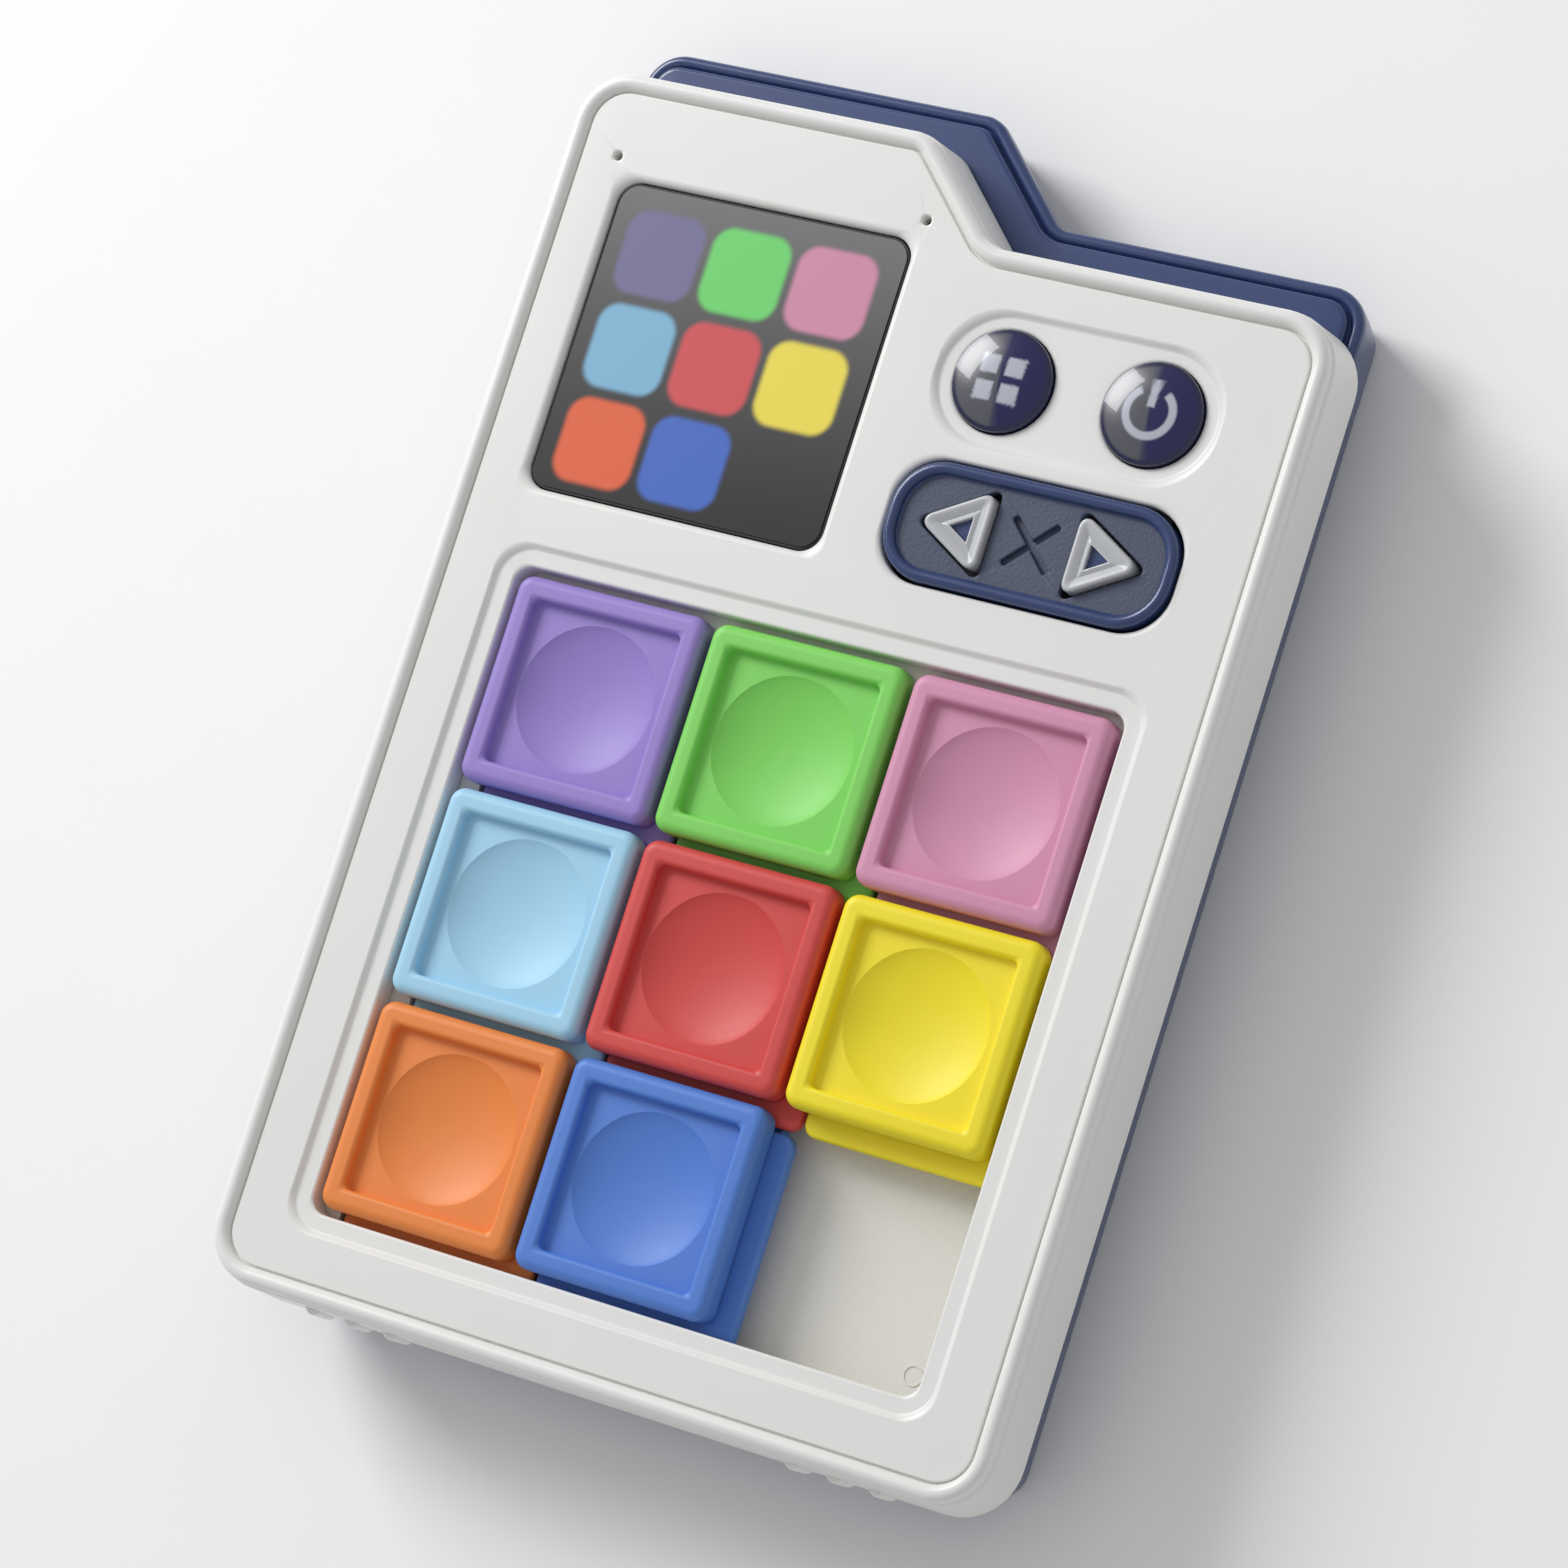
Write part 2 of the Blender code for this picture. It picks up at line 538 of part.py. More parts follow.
# --- Tiles -----------------------------------------------------------------------------------


def square(half, radius, steps=4):
    """Rounded square about the middle of a tile."""
    return outline(box_corners((0, 0), (2 * half, 2 * half), radius), steps=steps)


def as_ring(points, radius):
    """Evenly spaced circle with as many points as a rounded square, so the two can be joined."""
    count = len(points)
    first = -0.75 * math.pi - math.tau / count * (count / 4 - 1) / 2
    angles = [first + math.tau * k / count for k in range(count)]
    return [(radius * math.cos(a), radius * math.sin(a)) for a in angles]


def tile_cap_levels():
    """Profile of a cap: side, rounded rim, square recess and shallow round dish."""
    edge = square(HALF_CAP, CAP_CORNER)
    recess_half = HALF_CAP - CAP_RIM
    floor_z = -CAP_RECESS
    floor = square(recess_half - 0.3, 0.8)
    levels = [
        (square(HALF_CAP - 0.3, CAP_CORNER - 0.3), -CAP_THICK),
        (edge, -CAP_THICK + 0.3),
        (edge, -0.8),
        (square(HALF_CAP - 0.8, CAP_CORNER - 0.6), 0.0),
        (square(recess_half + 0.3, 1.2), 0.0),
        (floor, floor_z),
        (as_ring(floor, DISH_RADIUS), floor_z),
    ]
    for share in (0.8, 0.45):
        levels.append((as_ring(floor, DISH_RADIUS * share), floor_z - DISH_DEPTH * (1 - share**2)))
    levels.append((as_ring(floor, DISH_RADIUS * 0.1), floor_z - DISH_DEPTH))
    return levels


def make_tile(colour, column, row):
    """One tile: the cap a finger rests in, over a base with its tongue and groove."""
    middle = ((column - 1) * PITCH, (1 - row) * PITCH, FACE_Z)
    look = material(colour, 0.45)
    levels = []
    for points, z in tile_cap_levels():
        levels.append(([(x + middle[0], y + middle[1]) for x, y in points], z + FACE_Z))
    cap = loft(f"{colour}_tile_cap", levels, look, middle)
    foot_z = FLOOR_Z + GAP
    x, y = middle[:2]
    plate = span_corners((x - GROOVE_EDGE, y - TONGUE_EDGE), (x + TONGUE_EDGE, y + GROOVE_EDGE), 1.6)
    core = span_corners((x - GROOVE_EDGE, y - HALF_CAP), (x + HALF_CAP, y + GROOVE_EDGE), 1.2)
    foot = box_corners((x, y), (2 * HALF_CAP, 2 * HALF_CAP), CAP_CORNER)
    base = prism(f"{colour}_tile_base", outline(plate, steps=2), TONGUE_UNDER_Z, TONGUE_TOP_Z, look, middle)
    add(base, outline(core, 0.05, steps=2), FOOT_TOP_Z - 0.3, TONGUE_UNDER_Z + 0.3, "core")
    add(base, outline(foot, steps=2), foot_z, FOOT_TOP_Z, "foot")
    for piece in (cap, base):
        piece.data.name = piece.name
    return cap, base


# --- Screen, board and keys ------------------------------------------------------------------


def make_screen():
    """Clear lens that fills the opening from below, and the display under it."""
    width, height = SCREEN_SIZE
    here = (SCREEN_X, SCREEN_Y)
    plug = box_corners(here, (width - 2 * GAP, height - 2 * GAP), SCREEN_CORNER - GAP)
    lens = prism("screen_lens", outline(plug), FLANGE_UNDER_Z, FACE_Z - LENS_DROP, material("clear", 0.05))
    rim = box_corners(here, (width + 2 * FLANGE, height + 2 * FLANGE), SCREEN_CORNER)
    add(lens, outline(rim), FLANGE_UNDER_Z, FLANGE_TOP_Z, "flange")
    lcd = box_corners(here, (width + 2 * FLANGE, height + 2 * FLANGE), 0.6)
    prism("lcd_module", outline(lcd, steps=2), LCD_UNDER_Z, LCD_TOP_Z, material("screen", 0.2))


def make_board():
    """Circuit board, its bonded chip, and the rubber mat whose domes the keys press."""
    low, high = (BOARD_LEFT, BOARD_BOTTOM), (BOARD_RIGHT, BOARD_TOP)
    board = prism("main_board", outline(span_corners(low, high, 1.0), steps=2), BOARD_UNDER_Z, BOARD_TOP_Z,
                  material("green_board", 0.4))
    ear_x, ear_y = BOARD_SCREWS[2]
    ear = span_corners((ear_x - 6.0, BOARD_TOP - 4.0), (ear_x + 6.0, ear_y + 2.6), 1.0)
    add(board, outline(ear, steps=2), BOARD_UNDER_Z + 0.01, BOARD_TOP_Z - 0.01, "ear")
    for i, spot in enumerate(BOARD_SCREWS):
        cut(board, circle(spot, SMALL_SHANK + GAP, 12), BOARD_UNDER_Z - 1, BOARD_TOP_Z + 1, f"hole{i}")
    chip_spot = (SCREEN_X - 6.0, BOARD_BOTTOM + 7.0)
    top = BOARD_UNDER_Z - GAP
    loft("chip_blob", [(circle(chip_spot, 1.5, 16), top - 1.3), (circle(chip_spot, 4.0, 16), top - 1.0),
                       (circle(chip_spot, 5.0, 16), top)], material("black", 0.2))
    half = PANEL_SIZE[0] / 2 - 3.0
    mat_low = (PANEL_X - half, NAV_Y - 6.6)
    mat_high = (PANEL_X + half - 0.8, BUTTON_Y + 5.6)
    mat = prism("key_mat", outline(span_corners(mat_low, mat_high, 2.0), steps=2), BOARD_TOP_Z + GAP, MAT_TOP_Z,
                material("rubber", 0.8))
    for i, spot in enumerate(button_spots()):
        add(mat, circle(spot, 3.0, 16), BOARD_TOP_Z + 1, FLANGE_UNDER_Z - BUTTON_TRAVEL - GAP, f"dome{i}")
    for side in (-1, 1):
        spot = (PANEL_X + side * (KEY_BASE_X + KEY_WIDTH / 3), NAV_Y)
        add(mat, circle(spot, 2.2, 16), BOARD_TOP_Z + 1, key_under() - KEY_TRAVEL - GAP, f"key_dome{side}")


def make_round_button(name, spot):
    """Glossy domed button with a flange that keeps it under the face."""
    rise = FACE_Z + BUTTON_RISE
    levels = [
        (circle(spot, BUTTON_RADIUS + FLANGE, 24), FLANGE_UNDER_Z),
        (circle(spot, BUTTON_RADIUS + FLANGE, 24), FLANGE_TOP_Z),
        (circle(spot, BUTTON_RADIUS, 24), FLANGE_TOP_Z + 0.02),
        (circle(spot, BUTTON_RADIUS, 24), FACE_Z - 0.1),
        (circle(spot, BUTTON_RADIUS - 0.35, 24), FACE_Z + 0.25),
        (circle(spot, BUTTON_RADIUS * 0.7, 24), rise - 0.25),
        (circle(spot, BUTTON_RADIUS * 0.3, 24), rise),
    ]
    return loft(name, levels, material("navy", 0.05), (spot[0], spot[1], FACE_Z))


def plate_under():
    """Underside of the plate that the arrow keys come through."""
    return FACE_Z - NAV_PLATE_DROP - 1.2


def key_under():
    """Underside of an arrow key's flange."""
    return plate_under() - GAP - 1.0


def arrow_corners(side, grow=0.0):
    """Triangle of one arrow key; side is -1 for the left and 1 for the right."""
    base_x = PANEL_X + side * KEY_BASE_X
    tip_x = base_x + side * KEY_WIDTH
    half = KEY_HEIGHT / 2
    spots = ((base_x, NAV_Y - half), (tip_x, NAV_Y), (base_x, NAV_Y + half))
    corners = [(x, y, KEY_CORNER) for x, y in spots]
    return offset_corners(corners if side > 0 else corners[::-1], -grow) if grow else corners[::side]


def make_nav_keys():
    """Navy bezel with a raised ring, and the two clear arrow keys that rise through its plate."""
    here = (PANEL_X, NAV_Y)
    body = box_corners(here, NAV_SIZE, NAV_CORNER)
    ring = FACE_Z + NAV_RISE
    bezel = loft(
        "nav_bezel",
        [
            (outline(body, steps=6), FLANGE_UNDER_Z),
            (outline(body, steps=6), ring - 0.5),
            (outline(body, 0.5, steps=6), ring),
        ],
        material("navy", 0.2),
    )
    add(bezel, outline(body, -1.3, 6), FLANGE_UNDER_Z, FLANGE_TOP_Z, "flange")
    cut(bezel, outline(body, NAV_RING, 6), FACE_Z - NAV_PLATE_DROP, ring + 1, "plate")
    cut(bezel, outline(body, NAV_RING + 0.1, 6), FLANGE_UNDER_Z - 1, plate_under(), "under")
    for side, name in ((-1, "left_arrow_key"), (1, "right_arrow_key")):
        label = name.split("_")[0]
        cut(bezel, outline(arrow_corners(side, GAP), steps=3), plate_under() - 1, ring + 1, label)
        middle = (PANEL_X + side * (KEY_BASE_X + KEY_WIDTH / 3), NAV_Y, FACE_Z)
        top = FACE_Z + KEY_RISE
        arrow = arrow_corners(side)
        key = loft(
            name,
            [
                (outline(arrow, steps=3), key_under()),
                (outline(arrow, steps=3), top - 0.5),
                (outline(arrow, 0.6, steps=3), top),
            ],
            material("clear", 0.15),
            middle,
        )
        skirt = span_corners((min(arrow)[0] - 0.4, NAV_Y - 5.2), (max(arrow)[0] + 0.4, NAV_Y + 5.2), 1.6)
        add(key, outline(skirt, steps=2), key_under(), plate_under() - GAP, "skirt")


# --- Power and sound -------------------------------------------------------------------------


def make_cells():
    """Two AAA cells side by side, head to tail."""
    for side, name in ((1, "battery_1"), (-1, "battery_2")):
        y = BAY_Y + side * CELL_SPACING / 2
        half = CELL_LENGTH / 2
        head = side  # the plus end of the upper cell is on the right
        stations = [(-half, CELL_RADIUS - 0.5), (-half + 0.4, CELL_RADIUS), (half - 1.8, CELL_RADIUS),
                    (half - 1.2, CELL_RADIUS - 0.6), (half - 0.9, 1.9), (half, 1.8)]
        jacket = material("jacket", 0.3, 0.6)
        turned_solid(name, stations, Vector((0, y, CELL_Z)), Vector((head, 0, 0)), jacket)


def turned_solid(name, stations, middle, along, look, steps=16):
    """Round solid about a lengthwise axis, from (distance, radius) stations."""
    bm = bmesh.new()
    frame = along.to_track_quat("X", "Z").to_matrix()
    rings = []
    for distance, radius in stations:
        ring = []
        for k in range(steps):
            a = math.tau * k / steps
            place = frame @ Vector((distance, radius * math.cos(a), radius * math.sin(a)))
            ring.append(bm.verts.new(place * MM))
        rings.append(ring)
    for low, high in zip(rings, rings[1:]):
        for i in range(steps):
            j = (i + 1) % steps
            bm.faces.new((low[i], low[j], high[j], high[i]))
    bm.faces.new(rings[0][::-1])
    bm.faces.new(rings[-1])
    bmesh.ops.recalc_face_normals(bm, faces=bm.faces)
    return finish_mesh(name, bm, look, tuple(middle))


def make_contacts():
    """Sheet contacts at the two ends of the bay and the coil springs that stand on them."""
    steel = material("steel", 0.25, 1.0)
    half = BAY_HALF[0]
    thick = 0.4
    low_z, high_z = CELL_Z - 4.4, CELL_Z + 4.4
    reach = CELL_SPACING / 2
    right = (half - GAP - thick, half - GAP)
    left = (-half + GAP, -half + GAP + thick)
    plates = (
        ("contact_bridge", right, BAY_Y - reach - 4, BAY_Y + reach + 4),
        ("contact_minus", left, BAY_Y + reach - 4, BAY_Y + reach + 4),
        ("contact_plus", left, BAY_Y - reach - 4, BAY_Y - reach + 4),
    )
    for name, (x0, x1), y0, y1 in plates:
        prism(name, outline(span_corners((x0, y0), (x1, y1), 0.1), steps=1), low_z, high_z, steel)
    for name, side, y in (("spring_left", -1, BAY_Y + reach), ("spring_right", 1, BAY_Y - reach)):
        start = side * (half - GAP - thick - GAP - 0.3)
        end = side * (CELL_LENGTH / 2 + GAP + 0.3)
        turns, wire = 2.5, 0.3
        points = []
        for k in range(25):
            share = k / 24
            a = math.tau * turns * share
            radius = 3.6 - 1.2 * share
            along = start + (end - start) * share
            points.append((along, y + radius * math.cos(a), CELL_Z + radius * math.sin(a)))
        tube(name, points, wire, steel)


def tube(name, points, radius, look):
    """Round wire along points given in board millimetres, with closed ends."""
    curve = bpy.data.curves.new(name, "CURVE")
    curve.dimensions = "3D"
    curve.bevel_depth = radius * MM
    curve.bevel_resolution = 1
    curve.use_fill_caps = True
    spline = curve.splines.new("POLY")
    spline.points.add(len(points) - 1)
    for spot, (x, y, z) in zip(spline.points, points):
        spot.co = (x * MM, (y + SHIFT_Y) * MM, z * MM, 1.0)
    curve.materials.append(look)
    thing = bpy.data.objects.new(name, curve)
    bpy.context.scene.collection.objects.link(thing)
    return thing


def door_tab():
    """Middle of the door's screw tab, on its edge nearest the tile board."""
    return (0.0, BAY_Y - DOOR_HALF[1] - 1.2)


def make_battery_door():
    """Cover plate of the battery bay with its screw tab, and the small screw that holds it."""
    tab = door_tab()
    middle = (0.0, BAY_Y, DOOR_UNDER_Z)
    size = (2 * DOOR_HALF[0], 2 * DOOR_HALF[1])
    plate = outline(box_corners((0, BAY_Y), size, 2.0), steps=3)
    door = prism("battery_door", plate, DOOR_UNDER_Z, DOOR_TOP_Z, material("navy", 0.35), middle)
    add(door, circle(tab, SMALL_HEAD + 1.2, 16), DOOR_UNDER_Z, DOOR_TOP_Z, "tab")
    cut(door, circle(tab, SMALL_HEAD + GAP, 16), -1.0, DOOR_UNDER_Z + 0.7, "sink")
    cut(door, circle(tab, SMALL_SHANK + GAP, 12), -1.0, DOOR_TOP_Z + 1, "hole")
    for k in range(-2, 3):
        groove = span_corners((-4.0, BAY_Y + k * 1.8 - 0.3), (4.0, BAY_Y + k * 1.8 + 0.3), 0.2)
        cut(door, outline(groove, steps=1), -1.0, DOOR_UNDER_Z + 0.4, f"grip{k}")
    low = DOOR_UNDER_Z + 0.1
    screw("door_screw", tab, low, 0.35, DOOR_TOP_Z + GAP + 2.6, SMALL_HEAD, SMALL_SHANK)


def screw(name, spot, head_z, head_thick, tip_z, head_radius, shank_radius):
    """Pan-head screw that points up, with a cross recess left to its finish."""
    levels = [
        (circle(spot, head_radius - 0.25, 12), head_z),
        (circle(spot, head_radius, 12), head_z + head_thick / 2),
        (circle(spot, head_radius, 12), head_z + head_thick),
        (circle(spot, shank_radius, 12), head_z + head_thick + 0.02),
        (circle(spot, shank_radius, 12), tip_z - 0.8),
        (circle(spot, shank_radius * 0.4, 12), tip_z),
    ]
    return loft(name, levels, material("steel", 0.3, 1.0), (spot[0], spot[1], head_z))


def make_screws():
    """Case screws from the back, tray screws and board screws from inside."""
    for i, spot in enumerate(CASE_SCREWS, 1):
        tip = TRAY_UNDER_Z + 0.5 if i <= 4 else PILLAR_TOP_Z + 6.0
        head_z = PILLAR_TOP_Z - 3.2 - GAP - HEAD_THICK
        screw(f"case_screw_{i}", spot, head_z, HEAD_THICK, tip, CASE_SCREW_HEAD, CASE_SCREW_SHANK)
    for i, spot in enumerate(TRAY_SCREWS, 1):
        head_z = ear_top() - 1.5 - GAP - HEAD_THICK
        screw(f"tray_screw_{i}", spot, head_z, HEAD_THICK, PLATE_Z, SMALL_HEAD, SMALL_SHANK)
    for i, spot in enumerate(BOARD_SCREWS, 1):
        head_z = BOARD_UNDER_Z - GAP - HEAD_THICK
        screw(f"board_screw_{i}", spot, head_z, HEAD_THICK, PLATE_Z - 0.8, SMALL_HEAD, SMALL_SHANK)


def make_speaker():
    """Small round speaker that faces the grille."""
    spot = (SPEAKER_X, SPEAKER_Y)
    low = REAR_FLOOR_Z + GAP
    loft(
        "speaker",
        [
            (circle(spot, SPEAKER_RADIUS - 0.4, 24), low),
            (circle(spot, SPEAKER_RADIUS, 24), low + 0.4),
            (circle(spot, SPEAKER_RADIUS, 24), low + 2.0),
            (circle(spot, SPEAKER_RADIUS * 0.7, 24), low + 3.0),
            (circle(spot, SPEAKER_RADIUS * 0.55, 24), low + 3.1),
            (circle(spot, SPEAKER_RADIUS * 0.55, 24), low + SPEAKER_THICK),
        ],
        material("black", 0.5),
    )


def curve_through(points, steps=5):
    """Smooth line through hand-placed points (Catmull-Rom)."""
    spots = [Vector(p) for p in points]
    spots = [2 * spots[0] - spots[1], *spots, 2 * spots[-1] - spots[-2]]
    line = []
    for a, b, c, d in zip(spots, spots[1:], spots[2:], spots[3:]):
        for k in range(steps):
            t = k / steps
            bend = 2 * a - 5 * b + 4 * c - d
            twist = 3 * b - a - 3 * c + d
            line.append(0.5 * (2 * b + (c - a) * t + bend * t**2 + twist * t**3))
    line.append(spots[-2])
    return [tuple(p) for p in line]


def make_wires():
    """Leads from the battery contacts and the speaker up to the circuit board's edge."""
    wire = 0.5
    end_z = BOARD_UNDER_Z - GAP - wire
    low_z = REAR_FLOOR_Z + 3.6
    bay_x = -BAY_HALF[0] - BAY_WALL - 1.4
    reach = CELL_SPACING / 2
    board_y = BOARD_BOTTOM + 3.0
    for name, y, x_end, look in (
        ("battery_wire_minus", BAY_Y + reach, SCREEN_X - 14.6, "black"),
        ("battery_wire_plus", BAY_Y - reach, SCREEN_X - 10.6, "wire_red"),
    ):
        points = [
            (bay_x, y, low_z + 4.0),
            (bay_x - 2.0, y - 3.0, low_z + 2.0),
            (x_end, y - 10.0, low_z + 1.0),
            (x_end - 1.0, board_y + 6.0, low_z + 4.0),
            (x_end, board_y + 2.0, end_z),
        ]
        tube(name, curve_through(points), wire, material(look, 0.5))
    top = REAR_FLOOR_Z + GAP + SPEAKER_THICK + wire + GAP
    for name, dx, look in (("speaker_wire_minus", -2.0, "black"), ("speaker_wire_plus", 2.0, "wire_red")):
        x = SPEAKER_X + dx
        points = [
            (x, SPEAKER_Y, top),
            (x, SPEAKER_Y + 10.0, top),
            (x, SPEAKER_Y + 30.0, low_z),
            (x - 1.0, HALF_WINDOW - 4.0, low_z),
            (x, board_y - 1.0, low_z + 3.0),
            (x, board_y + 3.0, end_z),
        ]
        tube(name, curve_through(points), wire, material(look, 0.5))


def main():
    """Build every piece."""
    clear_scene()
    make_front_shell()
    make_rear_shell()
    make_tile_tray()
    for row, colours in enumerate(BOARD_LAYOUT):
        for column, colour in enumerate(colours):
            if colour:
                make_tile(colour, column, row)
    make_screen()
    make_board()
    for name, spot in zip(("mode_button", "power_button"), button_spots()):
        make_round_button(name, spot)
    make_nav_keys()
    make_cells()
    make_contacts()
    make_battery_door()
    make_screws()
    make_speaker()
    make_wires()


main()
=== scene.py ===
"""Looks of a hand-held electronic sliding tile puzzle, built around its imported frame.

The toy lies on its back.  Lengths are in millimetres unless a name says otherwise, and plan
positions are measured from the middle of the tile board, which the frame's tiles give.
"""

from __future__ import annotations

import functools
import json
import logging
import math
from dataclasses import dataclass
from enum import Enum
from typing import Callable, Iterable, Sequence

import bmesh
import bpy
from bmesh.types import BMEdge, BMesh, BMFace
from mathutils import Matrix, Vector


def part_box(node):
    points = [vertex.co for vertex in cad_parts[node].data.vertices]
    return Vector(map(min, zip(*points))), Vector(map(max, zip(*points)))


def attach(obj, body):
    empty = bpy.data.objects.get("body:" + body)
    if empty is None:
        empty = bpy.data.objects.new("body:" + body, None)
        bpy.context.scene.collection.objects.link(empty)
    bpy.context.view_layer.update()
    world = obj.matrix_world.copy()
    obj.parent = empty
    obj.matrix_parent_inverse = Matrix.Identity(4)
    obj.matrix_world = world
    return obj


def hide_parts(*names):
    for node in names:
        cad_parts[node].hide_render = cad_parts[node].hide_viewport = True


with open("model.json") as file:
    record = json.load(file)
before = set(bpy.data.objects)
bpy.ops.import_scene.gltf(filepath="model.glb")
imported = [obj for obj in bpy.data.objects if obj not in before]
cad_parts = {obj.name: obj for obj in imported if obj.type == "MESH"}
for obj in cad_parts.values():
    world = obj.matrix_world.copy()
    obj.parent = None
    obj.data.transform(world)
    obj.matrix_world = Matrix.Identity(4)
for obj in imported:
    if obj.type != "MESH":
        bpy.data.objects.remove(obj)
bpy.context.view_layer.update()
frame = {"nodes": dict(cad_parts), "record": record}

LOG = logging.getLogger("tile_puzzle")
MM = 0.001
GAP = 0.3  # air between two pieces that touch on the real toy
SMOOTH_ANGLE = math.radians(32)
ARROW_KEYS = ("left_arrow_key", "right_arrow_key")
CORNER_SEGMENTS = 10
ROUND = 0.9999  # share of half a side that a corner takes up on a fully round end
TINY = 0.005  # points closer than this are one point
Station = tuple[float, float]  # (inset from the outline, height)
Loop = list[BMEdge]
Ends = tuple[Loop, Loop]  # the two open loops that a wall leaves to be filled
Links = dict[str, bpy.types.NodeSocket]


# --- Places read from the frame --------------------------------------------------------------


@functools.cache
def node_box(name: str) -> tuple[Vector, Vector]:
    """Read a frame node's box in board millimetres.

    Args:
        name: The node's name in the frame.

    Returns:
        Its lowest and highest corner, with y measured from the tile board's middle.
    """
    low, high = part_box(name)
    shift = Vector((0.0, BOARD_Y, 0.0))
    return (low / MM) - shift, (high / MM) - shift


def node_middle(name: str) -> Vector:
    """Return the middle of a frame node's box, in board millimetres."""
    low, high = node_box(name)
    return (low + high) / 2


def board_middle_y() -> float:
    """Row-frame y, in millimetres, of the tile board's middle: the red tile's own middle."""
    low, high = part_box("red_tile_cap")
    return (low.y + high.y) / 2 / MM


BOARD_Y = board_middle_y()
TILE_LOW, TILE_HIGH = node_box("red_tile_cap")
SHELL_LOW, SHELL_HIGH = node_box("front_shell")
REAR_LOW, REAR_HIGH = node_box("rear_shell")
FACE_Z = TILE_HIGH.z
CAP_UNDER_Z = TILE_LOW.z
PLATE_Z = FACE_Z - 2.0  # the face's underside
RING_RISE = 1.9  # the ring that meets the front shell stands this far above the ledge
LEDGE_Z = REAR_HIGH.z - RING_RISE
EDGE_Z = LEDGE_Z + GAP  # the front shell's lower edge
HALF_CASE = SHELL_HIGH.x
CASE_TOP = SHELL_HIGH.y
RIB_PROUD = 0.5  # how far the grip ribs stand out of the wall
CASE_BOTTOM = SHELL_LOW.y + RIB_PROUD
LEDGE_TOP = REAR_HIGH.y
STEP_DROP = 12.0
LOW_TOP = CASE_TOP - STEP_DROP
STEP_START = -5.0
STEP_RUN = 12.0
HALF_WINDOW = 41.0


# --- Outlines --------------------------------------------------------------------------------


@dataclass(frozen=True)
class Outline:
    """A counter-clockwise polygon whose corners are rounded.

    Attributes:
        corners: (x, y, radius) of each corner.
        segments: Straight pieces in each rounded corner.
    """

    corners: tuple[tuple[float, float, float], ...]
    segments: int = CORNER_SEGMENTS

    @staticmethod
    def box(centre: Sequence[float], size: Sequence[float], radius: float) -> Outline:
        """Make a rounded rectangle.

        Args:
            centre: Its middle.
            size: Its full width and height.
            radius: The corner radius.

        Returns:
            The outline.
        """
        (cx, cy), (w, h) = centre, size
        signs = ((-1, -1), (1, -1), (1, 1), (-1, 1))
        return Outline(tuple((cx + sx * w / 2, cy + sy * h / 2, radius) for sx, sy in signs))

    @staticmethod
    def circle(centre: Sequence[float], radius: float) -> Outline:
        """Make a circle, as a square whose corners take up its whole sides.

        Args:
            centre: Its middle.
            radius: Its radius.

        Returns:
            The outline.
        """
        return Outline.box(centre, (2 * radius, 2 * radius), radius * ROUND)

    def inset(self, amount: float) -> Outline:
        """Move every side inwards and adapt the corner radii.

        Args:
            amount: Distance inwards; negative moves outwards.

        Returns:
            The moved outline.
        """
        count = len(self.corners)
        spots = [Vector(c[:2]) for c in self.corners]
        sides = []
        for i, spot in enumerate(spots):
            along = (spots[(i + 1) % count] - spot).normalized()
            sides.append((spot + Vector((-along.y, along.x)) * amount, along))
        moved = []
        for i, (_, _, radius) in enumerate(self.corners):
            (p, d), (q, e) = sides[i - 1], sides[i]
            turn = d.x * e.y - d.y * e.x
            reach = ((q.x - p.x) * e.y - (q.y - p.y) * e.x) / turn
            spot = p + d * reach
            moved.append((spot.x, spot.y, max(radius - math.copysign(amount, turn), 0.12)))
        return Outline(tuple(moved), self.segments)

    def points(self) -> list[Vector]:
        """Round the corners with the bevel operator.

        Returns:
            The outline's points in order, counter-clockwise.
        """
        bm = bmesh.new()
        verts = [bm.verts.new((x, y, 0.0)) for x, y, _ in self.corners]
        bm.faces.new(verts)
        for i, (vert, (x, y, radius)) in enumerate(zip(verts, self.corners)):
            spot = Vector((x, y))
            back = Vector(self.corners[i - 1][:2]) - spot
            ahead = Vector(self.corners[(i + 1) % len(self.corners)][:2]) - spot
            reach = radius / math.tan(back.angle(ahead) / 2)
            bmesh.ops.bevel(
                bm, geom=[vert], offset=reach, segments=self.segments,
                profile=0.5, material=-1, affect="VERTICES",
            )
        bm.faces.ensure_lookup_table()
        found = [v.co.copy() for v in bm.faces[0].verts]
        bm.free()
        return [p for i, p in enumerate(found) if (p - found[i - 1]).length > TINY]

    def loop(self, bm: BMesh, z: float) -> Loop:
        """Draw the outline as a closed loop of edges.

        Args:
            bm: The mesh that gets it.
            z: Its height.

        Returns:
            The loop's edges.
        """
        verts = [bm.verts.new((p.x, p.y, z)) for p in self.points()]
        return [bm.edges.new((v, verts[(i + 1) % len(verts)])) for i, v in enumerate(verts)]


def arc(
    inset: float, z: float, radius: float, start: float, end: float, steps: int = 6,
) -> list[Station]:
    """Stations round part of a circle in a wall's cross-section.

    Args:
        inset: The circle's middle, as an inset.
        z: The circle's middle height.
        radius: The circle's radius.
        start: First angle in degrees, 0 pointing inwards and 90 up.
        end: Last angle in degrees.
        steps: Straight pieces along it.

    Returns:
        The stations in order.
    """
    angles = [math.radians(start + (end - start) * k / steps) for k in range(steps + 1)]
    return [(inset + radius * math.cos(a), z + radius * math.sin(a)) for a in angles]


